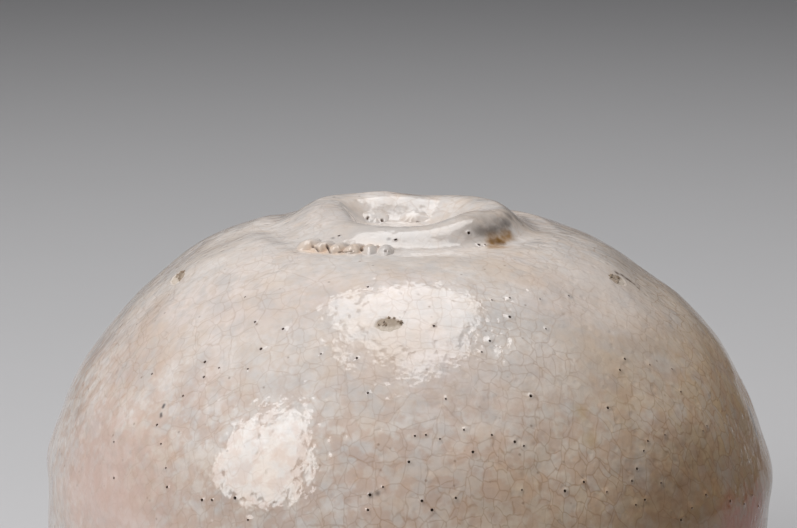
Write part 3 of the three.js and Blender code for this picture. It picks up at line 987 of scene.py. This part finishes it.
def ragged_oval(down, along, seed):
    """A ragged oval of these half sizes, down the wall and round the bowl: its radius towards an angle."""

    def radius_at(angle):
        oval = 1 / math.hypot(math.cos(angle) / down, math.sin(angle) / along)
        x, y = RAGGED_SWINGS * math.cos(angle), RAGGED_SWINGS * math.sin(angle)
        return oval * (1 + RAGGED_SHARE * noise.noise((x + seed, y, seed)))

    return radius_at


def scar_outline(flaws, node):
    """The outline of the scar at one of the frame's scraps of grit."""
    return ragged_oval(flaws.scar_width / 2, flaws.scar_length / 2, float(node[-1]))


def node_spot(skin, rays, node):
    """Row and column of the skin's spot nearest to the middle of a frame node."""
    low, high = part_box(node)
    hit, _, face, _ = rays.find_nearest((low + high) / 2)
    return skin.spot(hit, face)


def sink_scars(bowl, skin, tree):
    """The scars that kiln spurs broke in the glaze, at the frame's scraps of grit."""
    rings = [(share, -down * bowl.flaws.scar_depth, 0, bare) for share, down, bare in SCAR_RINGS]
    for node in nodes_named("spur_grit"):
        if not skin.sink(*node_spot(skin, tree, node), scar_outline(bowl.flaws, node), rings):
            raise ValueError(f"there is no room for the scar of {node}")


# Nodes and materials

def nodes_named(start):
    """The frame's nodes whose names start so, in order."""
    return sorted(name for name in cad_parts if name.startswith(start))


def add_node(tree, kind, inputs=None, **settings):
    """Adds a node with its settings, and sets or links its inputs."""
    node = tree.nodes.new(kind)
    for name, value in settings.items():
        setattr(node, name, value)
    for socket, value in (inputs or {}).items():
        if isinstance(value, bpy.types.NodeSocket):
            tree.links.new(value, node.inputs[socket])
        else:
            node.inputs[socket].default_value = value
    return node


def new_material(name):
    """A material with its tree, its shader and its Object coordinates."""
    material = bpy.data.materials.new(name)
    material.use_nodes = True
    tree = material.node_tree
    place = add_node(tree, "ShaderNodeTexCoord").outputs["Object"]
    return material, tree, tree.nodes["Principled BSDF"], place


# Sockets of the Mix node for colours
FACTOR, FIRST, SECOND, MIXED = 0, 6, 7, 2


def paint(tree, shader, ground, layers):
    """Gives the shader a ground colour with layers over it, each a mask and a colour."""
    tint = tuple(ground) + (1,)
    for mask, layer in layers:
        mixed = add_node(tree, "ShaderNodeMix", {
            FACTOR: mask, FIRST: tint, SECOND: tuple(layer) + (1,),
        }, data_type="RGBA")
        tint = mixed.outputs[MIXED]
    tree.links.new(tint, shader.inputs["Base Color"])


def patches(tree, place, size, low, high, strength, detail=3.0, offset=0.0):
    """A mask of soft patches of this size: none where the noise is under low, and strength over high."""
    moved = add_node(tree, "ShaderNodeVectorMath", {0: place, 1: (offset, offset, offset)}).outputs[0]
    cloud = add_node(tree, "ShaderNodeTexNoise", {"Vector": moved, "Scale": 1 / size, "Detail": detail})
    return add_node(tree, "ShaderNodeMapRange", {
        "Value": cloud.outputs[0], "From Min": low, "From Max": high, "To Max": strength,
    }, interpolation_type="SMOOTHSTEP").outputs[0]


def craze_cells(tree, spread, cell, shift):
    """Coordinates on the flat spread, in cells of this size, bent so that lines wander, and shifted."""
    warp = add_node(tree, "ShaderNodeTexNoise", {
        "Vector": spread, "Scale": CRAZE_BENDS / cell, "Detail": 2.0,
    }, noise_dimensions="2D")
    centred = add_node(tree, "ShaderNodeVectorMath", {
        0: warp.outputs["Color"], 1: (0.5, 0.5, 0.5),
    }, operation="SUBTRACT").outputs[0]
    pull = add_node(tree, "ShaderNodeVectorMath", {
        0: centred, "Scale": CRAZE_BEND,
    }, operation="SCALE").outputs[0]
    whole = add_node(tree, "ShaderNodeVectorMath", {
        0: spread, "Scale": 1 / cell,
    }, operation="SCALE").outputs[0]
    bent = add_node(tree, "ShaderNodeVectorMath", {0: whole, 1: pull}).outputs[0]
    return add_node(tree, "ShaderNodeVectorMath", {0: bent, 1: shift}).outputs[0]


def craze_lines(tree, cells, line, strength):
    """A mask of craze lines of this width, in cells: the edges of the cells."""
    edges = add_node(tree, "ShaderNodeTexVoronoi", {
        "Vector": cells, "Scale": 1.0, "Randomness": CRAZE_UNEVEN,
    }, feature="DISTANCE_TO_EDGE", voronoi_dimensions="2D")
    return add_node(tree, "ShaderNodeMapRange", {
        "Value": edges.outputs["Distance"], "From Max": line, "To Min": strength, "To Max": 0.0,
    }, interpolation_type="SMOOTHSTEP").outputs[0]


def stain(tree, place, rough, middle, radius, strength):
    """A mask round a point, for a stain mark or for painted light and shade, with an edge made ragged by the
    rough noise.
    """
    away = add_node(tree, "ShaderNodeVectorMath", {
        0: place, 1: tuple(middle),
    }, operation="DISTANCE").outputs["Value"]
    ragged = add_node(tree, "ShaderNodeMath", {
        0: rough, 1: radius, 2: away,
    }, operation="MULTIPLY_ADD").outputs[0]
    near, far = (edge * radius for edge in STAIN_EDGES)
    return add_node(tree, "ShaderNodeMapRange", {
        "Value": ragged, "From Min": near, "From Max": far, "To Min": strength, "To Max": 0.0,
    }, interpolation_type="SMOOTHSTEP").outputs[0]


def crazed_white_glaze(bowl, stains_and_painted_light):
    """White raku glaze, poured thick over buff clay and fired low.

    It gives the eye a glossy, dimpled skin that breaks up the lamps' reflections, a net of stained craze
    lines, clouds of beige, grey and pink, patches where it ran thin over the clay, brown specks, dark
    pinholes whose darkness is partly painted shade, and marks of smoke and iron at the foot, the smoke
    partly painted shade round the lug and above the beads. Towards the lower right it is browner and darker,
    partly painted shade; grey painted shade dims the lit foot, and white painted light brightens the shelf
    by the foot and the right shoulder.
    """
    flaws, colours = bowl.flaws, bowl.colours
    material, tree, shader, place = new_material("crazed_white_glaze")
    cloud = flaws.cloud_size
    # Warmer, browner and darker towards the lower right: partly stained glaze and partly painted shade.
    low_right = add_node(tree, "ShaderNodeVectorMath", {
        0: place, 1: LOW_RIGHT,
    }, operation="DOT_PRODUCT").outputs["Value"]
    warm, brown = (
        add_node(tree, "ShaderNodeMapRange", {
            "Value": low_right, "From Min": start, "From Max": end, "To Max": strength,
        }, interpolation_type="SMOOTHSTEP").outputs[0]
        for (start, end), strength in ((WARM_REACH, WARM_TINT), (BROWN_REACH, BROWN_TINT))
    )
    stained = add_node(tree, "ShaderNodeMapRange", {
        "Value": low_right, "From Min": CRAZE_REACH[0], "From Max": CRAZE_REACH[1],
        "To Min": CRAZE_TINTS[0], "To Max": CRAZE_TINTS[1],
    }).outputs[0]
    height = add_node(tree, "ShaderNodeSeparateXYZ", {0: place}).outputs["Z"]
    thin = add_node(tree, "ShaderNodeMapRange", {
        "Value": height, "From Min": flaws.thin_top, "From Max": flaws.thin_top - flaws.thin_reach,
        "To Max": THIN_TINT,
    }, interpolation_type="SMOOTHSTEP").outputs[0]
    worn = patches(tree, place, 1.4 * cloud, low=0.25, high=0.6, strength=stained, offset=0.31)
    seldom = patches(tree, place, 0.8 * cloud, low=0.32, high=0.56, strength=stained, offset=0.47)
    spread = add_node(tree, "ShaderNodeAttribute", attribute_name="spread").outputs["Vector"]
    long_cells = craze_cells(tree, spread, flaws.crack_cell, (0, 0, 0))
    long_lines = craze_lines(tree, long_cells, flaws.craze_line / flaws.crack_cell, worn)
    long_tone = add_node(tree, "ShaderNodeTexVoronoi", {
        "Vector": long_cells, "Scale": 1.0, "Randomness": CRAZE_UNEVEN,
    }, voronoi_dimensions="2D")
    shift = add_node(tree, "ShaderNodeVectorMath", {
        0: long_tone.outputs["Color"], "Scale": CRAZE_SHIFT,
    }, operation="SCALE").outputs[0]
    cells = craze_cells(tree, spread, flaws.craze_cell, shift)
    lines = craze_lines(tree, cells, flaws.craze_line / flaws.craze_cell, seldom)
    tone = add_node(tree, "ShaderNodeTexVoronoi", {
        "Vector": cells, "Scale": 1.0, "Randomness": CRAZE_UNEVEN,
    }, voronoi_dimensions="2D")
    tones = add_node(tree, "ShaderNodeSeparateColor", {0: tone.outputs["Color"]}).outputs
    grey_cells = add_node(tree, "ShaderNodeMath", {0: tones[0], 1: worn}, operation="MULTIPLY").outputs[0]
    specks = add_node(tree, "ShaderNodeTexVoronoi", {"Vector": place, "Scale": 1 / flaws.speck_spacing})
    dots = add_node(tree, "ShaderNodeMapRange", {
        "Value": specks.outputs["Distance"], "From Min": SPECK_EDGES[0], "From Max": SPECK_EDGES[1],
        "To Min": SPECK_TINT, "To Max": 0.0,
    }).outputs[0]
    mottle = flaws.mottle_size
    layers = [
        (patches(tree, place, cloud, low=0.42, high=0.68, strength=0.75), colours.beige),
        (patches(tree, place, 0.6 * cloud, low=0.5, high=0.72, strength=0.6, offset=0.13), colours.grey),
        (patches(tree, place, 1.5 * cloud, low=0.48, high=0.7, strength=0.28, offset=0.23), colours.pink),
        (patches(tree, place, mottle, low=0.4, high=0.7, strength=0.45, detail=4.0), colours.beige),
        (patches(tree, place, 2.7 * mottle, low=0.45, high=0.7, strength=0.45, offset=0.67), colours.grey),
        (warm, colours.tan),
        (grey_cells, colours.grey),
        (patches(tree, place, 0.35 * cloud, low=0.5, high=0.7, strength=0.4, offset=0.83), colours.grey),
        (patches(tree, place, 0.3 * cloud, low=0.5, high=0.7, strength=0.4, offset=0.91), colours.beige),
        (brown, colours.brown),
        (patches(tree, place, flaws.thin_size, low=0.42, high=0.6, strength=thin, offset=0.37), colours.clay),
        (long_lines, colours.craze),
        (lines, colours.craze),
        (dots, colours.speck),
    ]
    rough = add_node(tree, "ShaderNodeTexNoise", {
        "Vector": place, "Scale": 1 / STAIN_GRAIN, "Detail": 3.0,
    }).outputs[0]
    # Stain marks, among them painted shade on the foot, lug and beads and low on the right, and painted light
    # by the foot.
    for middle, radius, strength, tint in stains_and_painted_light:
        layers.append((stain(tree, place, rough, middle, radius, strength), tint))
    bare = add_node(tree, "ShaderNodeAttribute", attribute_name="bare").outputs["Fac"]
    hole = add_node(tree, "ShaderNodeAttribute", attribute_name="hole").outputs["Fac"]
    chipped = add_node(tree, "ShaderNodeMath", {0: bare, 1: CHIPPED_TINT}, operation="MULTIPLY").outputs[0]
    # The hole mark darkens pinholes and bead openings: partly the clay there and partly painted shade in the
    # recess.
    paint(tree, shader, colours.white, layers + [(chipped, colours.bare), (hole, colours.hole)])
    worn_gloss = patches(tree, place, 0.25 * cloud, low=0.3, high=0.7, strength=1.0, offset=0.59)
    gloss = add_node(tree, "ShaderNodeMapRange", {
        "Value": worn_gloss, "To Min": GLAZE_ROUGHNESS[0], "To Max": GLAZE_ROUGHNESS[1],
    }).outputs[0]
    dull = add_node(tree, "ShaderNodeMath", {
        0: bare, 1: BARE_ROUGHNESS, 2: gloss,
    }, operation="MULTIPLY_ADD").outputs[0]
    tree.links.new(dull, shader.inputs["Roughness"])
    peel = add_node(tree, "ShaderNodeTexNoise", {
        "Vector": place, "Scale": 1 / flaws.peel_size, "Detail": 2.0,
    })
    dimples = add_node(tree, "ShaderNodeBump", {"Distance": flaws.peel_depth, "Height": peel.outputs[0]})
    bubbles = add_node(tree, "ShaderNodeTexVoronoi", {"Vector": place, "Scale": 1 / flaws.pit_spacing})
    pits = add_node(tree, "ShaderNodeMapRange", {
        "Value": bubbles.outputs["Distance"], "From Max": PIT_EDGE,
    }, interpolation_type="SMOOTHSTEP")
    pitted = add_node(tree, "ShaderNodeBump", {
        "Distance": flaws.pit_depth, "Height": pits.outputs[0], "Normal": dimples.outputs[0],
    })
    tree.links.new(pitted.outputs[0], shader.inputs["Normal"])
    shader.inputs["IOR"].default_value = GLAZE_IOR
    return material


def raku_clay(bowl):
    """Coarse low-fired raku clay, shaped by hand: matt, buff to pink, with dark grog."""
    colours = bowl.colours
    material, tree, shader, place = new_material("raku_clay")
    blush = patches(tree, place, CLAY_BLUSH_SIZE, low=0.35, high=0.65, strength=0.8)
    grog = add_node(tree, "ShaderNodeTexVoronoi", {"Vector": place, "Scale": 1 / GROG_SIZE})
    grains = add_node(tree, "ShaderNodeMapRange", {
        "Value": grog.outputs["Distance"], "From Min": GROG_EDGES[0], "From Max": GROG_EDGES[1],
        "To Min": GROG_TINT, "To Max": 0.0,
    }).outputs[0]
    paint(tree, shader, colours.clay, [(blush, colours.pink), (grains, colours.grit)])
    bump = add_node(tree, "ShaderNodeBump", {"Distance": GROG_RELIEF, "Height": grog.outputs["Distance"]})
    tree.links.new(bump.outputs[0], shader.inputs["Normal"])
    shader.inputs["Roughness"].default_value = CLAY_ROUGHNESS
    return material


def fired_grit(bowl):
    """Scraps of a fired kiln spur, broken off: a matt pale cake with brown grains in it."""
    colours = bowl.colours
    material, tree, shader, place = new_material("fired_grit")
    mottle = patches(tree, place, GRIT_MOTTLE_SIZE, low=0.35, high=0.65, strength=0.6, detail=2.0)
    # The grain mark darkens the grains and the cake's top, where it is partly painted shade under the scar's
    # upper edge.
    grain = add_node(tree, "ShaderNodeAttribute", attribute_name="grain").outputs["Fac"]
    paint(tree, shader, colours.bare, [(mottle, colours.grit_pale), (grain, colours.grit)])
    fine = add_node(tree, "ShaderNodeTexNoise", {"Vector": place, "Scale": 1 / GRIT_BUMP_SIZE, "Detail": 3.0})
    bump = add_node(tree, "ShaderNodeBump", {"Distance": GRIT_RELIEF, "Height": fine.outputs[0]})
    tree.links.new(bump.outputs[0], shader.inputs["Normal"])
    shader.inputs["Roughness"].default_value = GRIT_ROUGHNESS
    return material


# Pieces

def add_piece(name, mesh, material, replaced):
    """Puts a finished mesh into the scene in place of frame nodes."""
    piece = bpy.data.objects.new(name, mesh)
    bpy.context.scene.collection.objects.link(piece)
    mesh.materials.clear()
    mesh.materials.append(material)
    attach(piece, "root")
    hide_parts(*replaced)


def seen_stains_and_painted_light(bowl, tree):
    """The stain marks that the photograph shows, painted light and shade among them, as (middle, radius,
    strength, colour).
    """
    return [
        (cast(bowl, tree, pixel)[0], radius * MM, strength, getattr(bowl.colours, tint))
        for pixels, radius, strength, tint in STAINS_AND_PAINTED_LIGHT.values()
        for pixel in pixels
    ]


class TEABOWL_OT_glaze_coats(bpy.types.Operator):
    """Builds the glaze coats of foot, outside, lip and inside, cut from one skin"""

    bl_idname = "teabowl.glaze_coats"
    bl_label = "Glaze coats"

    def execute(self, context):
        bowl = context.scene.tea_bowl
        skin = Skin(bowl)
        tree = skin.tree()
        rng = np.random.default_rng(PINHOLE_SEED)
        sink_scars(bowl, skin, tree)
        sink_seen_pinholes(bowl, skin, tree, rng)
        sink_hidden_pinholes(bowl, skin, rng)
        material = crazed_white_glaze(bowl, seen_stains_and_painted_light(bowl, tree))
        ends = [*skin.starts.values(), skin.rows - 1]
        replaced = {
            "foot": ["foot_glaze", "well_glaze"],
            "outside": ["outer_glaze"],
            "lip": ["lip_glaze"],
            "inside": ["inner_glaze"],
        }
        for coat, first, last in zip(skin.starts, ends, ends[1:]):
            name = f"glaze_{coat}"
            add_piece(name, skin.coat_mesh(name, first, last), material, replaced[coat])
        return {"FINISHED"}


class TEABOWL_OT_clay_wall(bpy.types.Operator):
    """Builds the clay under the glaze"""

    bl_idname = "teabowl.clay_wall"
    bl_label = "Clay wall"

    def execute(self, context):
        bowl = context.scene.tea_bowl
        clay = Skin(bowl).clay_mesh("clay_wall", bowl.form.glaze_thickness + bowl.form.bond_gap)
        add_piece("clay_wall", clay, raku_clay(bowl), ["clay_body", "foot_coil"])
        return {"FINISHED"}


def ring_round(skin, spot, outline, share):
    """Points of the face on a ring round a spot, at this share of an outline, and the normals there."""
    angles = np.linspace(0, FULL_TURN, RING_SIDES, endpoint=False)
    reach = share * np.array([outline(angle) for angle in angles])
    row_step, column_step = skin.steps(spot)
    u = spot[0] + np.cos(angles) * reach / row_step
    v = spot[1] + np.sin(angles) * reach / column_step
    return skin.at(skin.points, u, v), skin.at(skin.normals, u, v)


def closed_rings(name, rings, mark, values):
    """A closed mesh over rings of points, from the middle outwards and down, with a mark on each point."""
    form = bmesh.new()
    layer = form.verts.layers.float.new(mark)
    loops = [[form.verts.new(point) for point in ring] for ring in rings]
    for loop, marks in zip(loops, values):
        for vertex, value in zip(loop, marks):
            vertex[layer] = value
    for inner, outer in zip(loops, loops[1:]):
        for a, b, c, d in zip(outer, outer[1:] + outer[:1], inner[1:] + inner[:1], inner):
            form.faces.new((a, b, c, d))
    form.faces.new(reversed(loops[-1]))
    bmesh.ops.remove_doubles(form, verts=form.verts, dist=WELD)
    mesh = bpy.data.meshes.new(name)
    form.to_mesh(mesh)
    form.free()
    mesh.shade_smooth()
    return mesh


def opening_depth(stage, point):
    """How deep a point of a bead lies in one of the openings that the photograph shows, from 0 to 1."""
    here = pixel_of(stage, point)
    depth = 0.0
    for start, end, half_width in BEAD_OPENINGS.values():
        start, run = Vector(start), Vector(end) - Vector(start)
        share = min(max((here - start).dot(run) / run.length_squared, 0), 1)
        off = (here - start - run * share).length
        depth = max(depth, float(1 - smoothstep(off, *(edge * half_width for edge in OPENING_EDGES))))
    return depth


def bead_mesh(bowl, skin, rays, name, node):
    """A bead of crawled glaze: a round mound set in the glaze, with its burst openings."""
    across, down, rise, sag = (size * MM for size in BEAD_SIZES[node.split("_")[0]])
    u, v = node_spot(skin, rays, node)
    spot = (u + sag / skin.steps((u, v))[0], v)
    outline = ragged_oval(down, across, float(node[-1]))
    rings = []
    holes = []
    for share in np.linspace(0, 1, BEAD_RINGS):
        points, normals = ring_round(skin, spot, outline, share)
        height = rise * (1 - share ** 2) ** BEAD_SLANT
        # The openings are marked to be painted dark: partly the clay there and partly painted shade in the
        # recess.
        opened = np.array([opening_depth(bowl.stage, point) for point in points + normals * height])
        rings.append(points + normals * (height * (1 - OPENING_DEPTH * opened) - BEAD_SINK)[:, None])
        holes.append(opened)
    rings.append(points - normals * bowl.form.glaze_thickness / 2)
    holes.append(np.zeros(RING_SIDES))
    return closed_rings(name, rings, "hole", holes)


class TEABOWL_OT_glaze_beads(bpy.types.Operator):
    """Builds the beads of crawled glaze along the foot's root and in its well"""

    bl_idname = "teabowl.glaze_beads"
    bl_label = "Glaze beads"

    def execute(self, context):
        bowl = context.scene.tea_bowl
        skin = Skin(bowl)
        rays = skin.tree()
        material = bpy.data.materials["crazed_white_glaze"]
        for node in nodes_named("root_bead") + nodes_named("well_bead"):
            name = f"glaze_{node}"
            add_piece(name, bead_mesh(bowl, skin, rays, name, node), material, [node])
        return {"FINISHED"}


def grit_tree(material):
    """Node tree that strews clumps of dark grains over the upper part of a scrap of grit."""
    tree = bpy.data.node_groups.new("strewn_grit", "GeometryNodeTree")
    sockets = {
        "Geometry": ("NodeSocketGeometry", None),
        "Grain size": ("NodeSocketFloat", GRAIN_SIZE),
        "Grains per area": ("NodeSocketFloat", GRAINS_PER_AREA),
        "Grains over height": ("NodeSocketFloat", 0.0),
        "Seed": ("NodeSocketInt", GRIT_SEED),
    }
    for name, (kind, default) in sockets.items():
        socket = tree.interface.new_socket(name, in_out="INPUT", socket_type=kind)
        if default is not None:
            socket.default_value = default
    tree.interface.new_socket("Geometry", in_out="OUTPUT", socket_type="NodeSocketGeometry")
    given = add_node(tree, "NodeGroupInput").outputs
    scrap = given["Geometry"]
    place = add_node(tree, "GeometryNodeInputPosition").outputs[0]
    height = add_node(tree, "ShaderNodeSeparateXYZ", {0: place}).outputs["Z"]
    upper = add_node(tree, "FunctionNodeCompare", {
        0: height, 1: given["Grains over height"],
    }, data_type="FLOAT", operation="GREATER_THAN").outputs[0]
    clump = add_node(tree, "ShaderNodeTexNoise", {
        "Vector": place, "Scale": 1 / CLUMP_SIZE, "Detail": 1.0,
    }).outputs[0]
    crowd = add_node(tree, "ShaderNodeMapRange", {
        "Value": clump, "From Min": CLUMP_EDGES[0], "From Max": CLUMP_EDGES[1],
        "To Max": given["Grains per area"],
    }).outputs[0]
    strewn = add_node(tree, "GeometryNodeDistributePointsOnFaces", {
        "Mesh": scrap, "Selection": upper, "Density": crowd, "Seed": given["Seed"],
    })
    ball = add_node(tree, "GeometryNodeMeshIcoSphere", {"Radius": given["Grain size"], "Subdivisions": 2})
    turn = add_node(tree, "FunctionNodeRandomValue", {
        1: (FULL_TURN, FULL_TURN, FULL_TURN), "Seed": given["Seed"],
    }, data_type="FLOAT_VECTOR")
    size = add_node(tree, "FunctionNodeRandomValue", {
        0: GRAIN_STRETCH[0], 1: GRAIN_STRETCH[1], "Seed": given["Seed"],
    }, data_type="FLOAT_VECTOR")
    placed = add_node(tree, "GeometryNodeInstanceOnPoints", {
        "Points": strewn.outputs["Points"], "Instance": ball.outputs["Mesh"],
        "Rotation": turn.outputs[0], "Scale": size.outputs[0],
    })
    shade = add_node(tree, "FunctionNodeRandomValue", {
        2: GRAIN_SHADES[0], 3: GRAIN_SHADES[1], "Seed": given["Seed"],
    }, data_type="FLOAT")
    grains = add_node(tree, "GeometryNodeStoreNamedAttribute", {
        "Geometry": placed.outputs["Instances"], "Name": "grain", "Value": shade.outputs[1],
    }, data_type="FLOAT", domain="INSTANCE").outputs[0]
    joined = add_node(tree, "GeometryNodeJoinGeometry")
    tree.links.new(scrap, joined.inputs[0])
    tree.links.new(grains, joined.inputs[0])
    real = add_node(tree, "GeometryNodeRealizeInstances", {"Geometry": joined.outputs[0]})
    coated = add_node(tree, "GeometryNodeSetMaterial", {"Geometry": real.outputs[0], "Material": material})
    add_node(tree, "NodeGroupOutput", {0: coated.outputs[0]})
    return tree


def cake_mesh(bowl, skin, rays, name, node):
    """The cake of grit in a scar: lumpy, a little under the glaze's face, darker at the top, which is partly
    crusted grit and partly painted shade under the scar's upper edge.
    """
    spot = node_spot(skin, rays, node)
    outline = scar_outline(bowl.flaws, node)
    rings = []
    for share, cover in CAKE_RINGS:
        points, normals = ring_round(skin, spot, outline, share)
        lumps = CAKE_LUMP_HEIGHT * waves(points, CAKE_LUMP_SIZE, CAKE_LUMP_SEED)
        rings.append(points - normals * (bowl.flaws.cake_cover * cover - lumps)[:, None])
    heights = np.array(rings)[..., 2]
    share = (heights - heights.min()) / np.ptp(heights)
    moved = DARK_TOP_PATCH_SHARE * waves(np.array(rings), DARK_TOP_PATCH_SIZE, DARK_TOP_PATCH_SEED)
    dark_top = DARK_TOP_TINT * smoothstep(share + moved, *DARK_TOP_SHARES)
    return closed_rings(name, rings, "grain", dark_top)


class TEABOWL_OT_spur_grit(bpy.types.Operator):
    """Builds the scraps of kiln spur grit in their scars"""

    bl_idname = "teabowl.spur_grit"
    bl_label = "Spur grit"

    def execute(self, context):
        bowl = context.scene.tea_bowl
        skin = Skin(bowl)
        rays = skin.tree()
        material = fired_grit(bowl)
        tree = grit_tree(material)
        for node in nodes_named("spur_grit"):
            name = f"fired_{node}"
            cake = cake_mesh(bowl, skin, rays, name, node)
            rough = bpy.data.objects.new(name + "_cake", cake)
            context.scene.collection.objects.link(rough)
            strew = rough.modifiers.new("strewn grit", "NODES")
            strew.node_group = tree
            heights = [vertex.co.z for vertex in cake.vertices]
            inputs = {
                "Seed": GRIT_SEED + int(node[-1]),
                "Grains over height": min(heights) + GRAINS_FROM * (max(heights) - min(heights)),
            }
            for socket in tree.interface.items_tree:
                if socket.name in inputs:
                    strew[socket.identifier] = inputs[socket.name]
            graph = context.evaluated_depsgraph_get()
            mesh = bpy.data.meshes.new_from_object(rough.evaluated_get(graph), depsgraph=graph)
            bpy.data.objects.remove(rough)
            mesh.name = name
            add_piece(name, mesh, material, [node])
        return {"FINISHED"}


# Stage

def painted_board(stage):
    """Board painted pale grey, rolled on: matt, with a faint mottle."""
    material, tree, shader, place = new_material("painted_board")
    mottle = patches(tree, place, BOARD_MOTTLE_SIZE, low=0.3, high=0.7, strength=0.06)
    paint(tree, shader, stage.floor, [(mottle, stage.floor_mottle)])
    shader.inputs["Roughness"].default_value = BOARD_ROUGHNESS
    return material


def add_lamp(stage, name, way, radiance, width, depth):
    """An oval soft box that faces the bowl from the way given. Returns its stand."""
    lamp = bpy.data.lights.new(name, "AREA")
    lamp.shape = "ELLIPSE"
    lamp.size = width
    lamp.size_y = depth
    area = math.pi / 4 * width * depth
    lamp.energy = radiance * math.pi * area
    stand = bpy.data.objects.new(name, lamp)
    stand.location = Vector((0, 0, stage.look_height)) + way * stage.lamp_distance
    stand.rotation_euler = way.to_track_quat("Z", "Y").to_euler()
    stand.visible_camera = False
    bpy.context.scene.collection.objects.link(stand)
    return stand


class TEABOWL_OT_stage(bpy.types.Operator):
    """Sets up the floor, the lamps and the camera"""

    bl_idname = "teabowl.stage"
    bl_label = "Stage"

    def execute(self, context):
        scene = context.scene
        stage = scene.tea_bowl.stage
        half = stage.floor_size / 2
        mesh = bpy.data.meshes.new("floor")
        corners = [(-half, -half, 0), (half, -half, 0), (half, half, 0), (-half, half, 0)]
        mesh.from_pydata(corners, [], [(0, 1, 2, 3)])
        mesh.materials.append(painted_board(stage))
        floor = bpy.data.objects.new("floor", mesh)
        scene.collection.objects.link(floor)
        lean = stage.top_lean
        top = Vector((0, math.sin(lean), math.cos(lean)))
        add_lamp(stage, "top_lamp", top, stage.top_radiance, stage.top_width, stage.top_depth)
        wide = stage.broad_width
        broad = add_lamp(stage, "broad_lamp", top, stage.broad_radiance, wide, wide)
        broad.visible_glossy = False  # it lights the bowl, and the glaze mirrors only the two smaller lamps
        turn, rise = stage.side_turn, stage.side_elevation
        side = Vector((math.sin(turn) * math.cos(rise), -math.cos(turn) * math.cos(rise), math.sin(rise)))
        add_lamp(stage, "side_lamp", side, stage.side_radiance, stage.side_width, stage.side_height)
        world = bpy.data.worlds.new("studio")
        world.use_nodes = True
        world.node_tree.nodes["Background"].inputs["Color"].default_value = tuple(stage.fill) + (1,)
        scene.world = world
        eye, right, up, forward = camera_frame(stage)
        lens = bpy.data.cameras.new("camera")
        lens.lens = stage.camera_lens
        lens.sensor_width = stage.camera_sensor
        camera = bpy.data.objects.new("camera", lens)
        camera.matrix_world = Matrix.Translation(eye) @ Matrix((right, up, -forward)).transposed().to_4x4()
        scene.collection.objects.link(camera)
        scene.camera = camera
        scene.view_settings.view_transform = "Standard"
        return {"FINISHED"}


STEPS = [
    TEABOWL_OT_stage,
    TEABOWL_OT_glaze_coats,
    TEABOWL_OT_clay_wall,
    TEABOWL_OT_glaze_beads,
    TEABOWL_OT_spur_grit,
]


class TEABOWL_PT_panel(bpy.types.Panel):
    """Lists the tea bowl's steps and settings"""

    bl_label = "Tea bowl"
    bl_idname = "TEABOWL_PT_panel"
    bl_space_type = "VIEW_3D"
    bl_region_type = "UI"
    bl_category = "Tea bowl"

    def draw(self, context):
        for step in STEPS:
            self.layout.operator(step.bl_idname)
        for group, kind in GROUPS.items():
            box = self.layout.box()
            box.label(text=kind.__doc__)
            for name in kind.__annotations__:
                box.prop(getattr(context.scene.tea_bowl, group), name)


CLASSES = [*GROUPS.values(), TeaBowl, *STEPS, TEABOWL_PT_panel]


def register():
    for kind in CLASSES:
        bpy.utils.register_class(kind)
    bpy.types.Scene.tea_bowl = PointerProperty(type=TeaBowl)


def unregister():
    del bpy.types.Scene.tea_bowl
    for kind in reversed(CLASSES):
        bpy.utils.unregister_class(kind)


def main():
    register()
    bpy.ops.teabowl.stage()
    bpy.ops.teabowl.glaze_coats()
    bpy.ops.teabowl.clay_wall()
    bpy.ops.teabowl.glaze_beads()
    bpy.ops.teabowl.spur_grit()


if __name__ == "__main__":
    main()
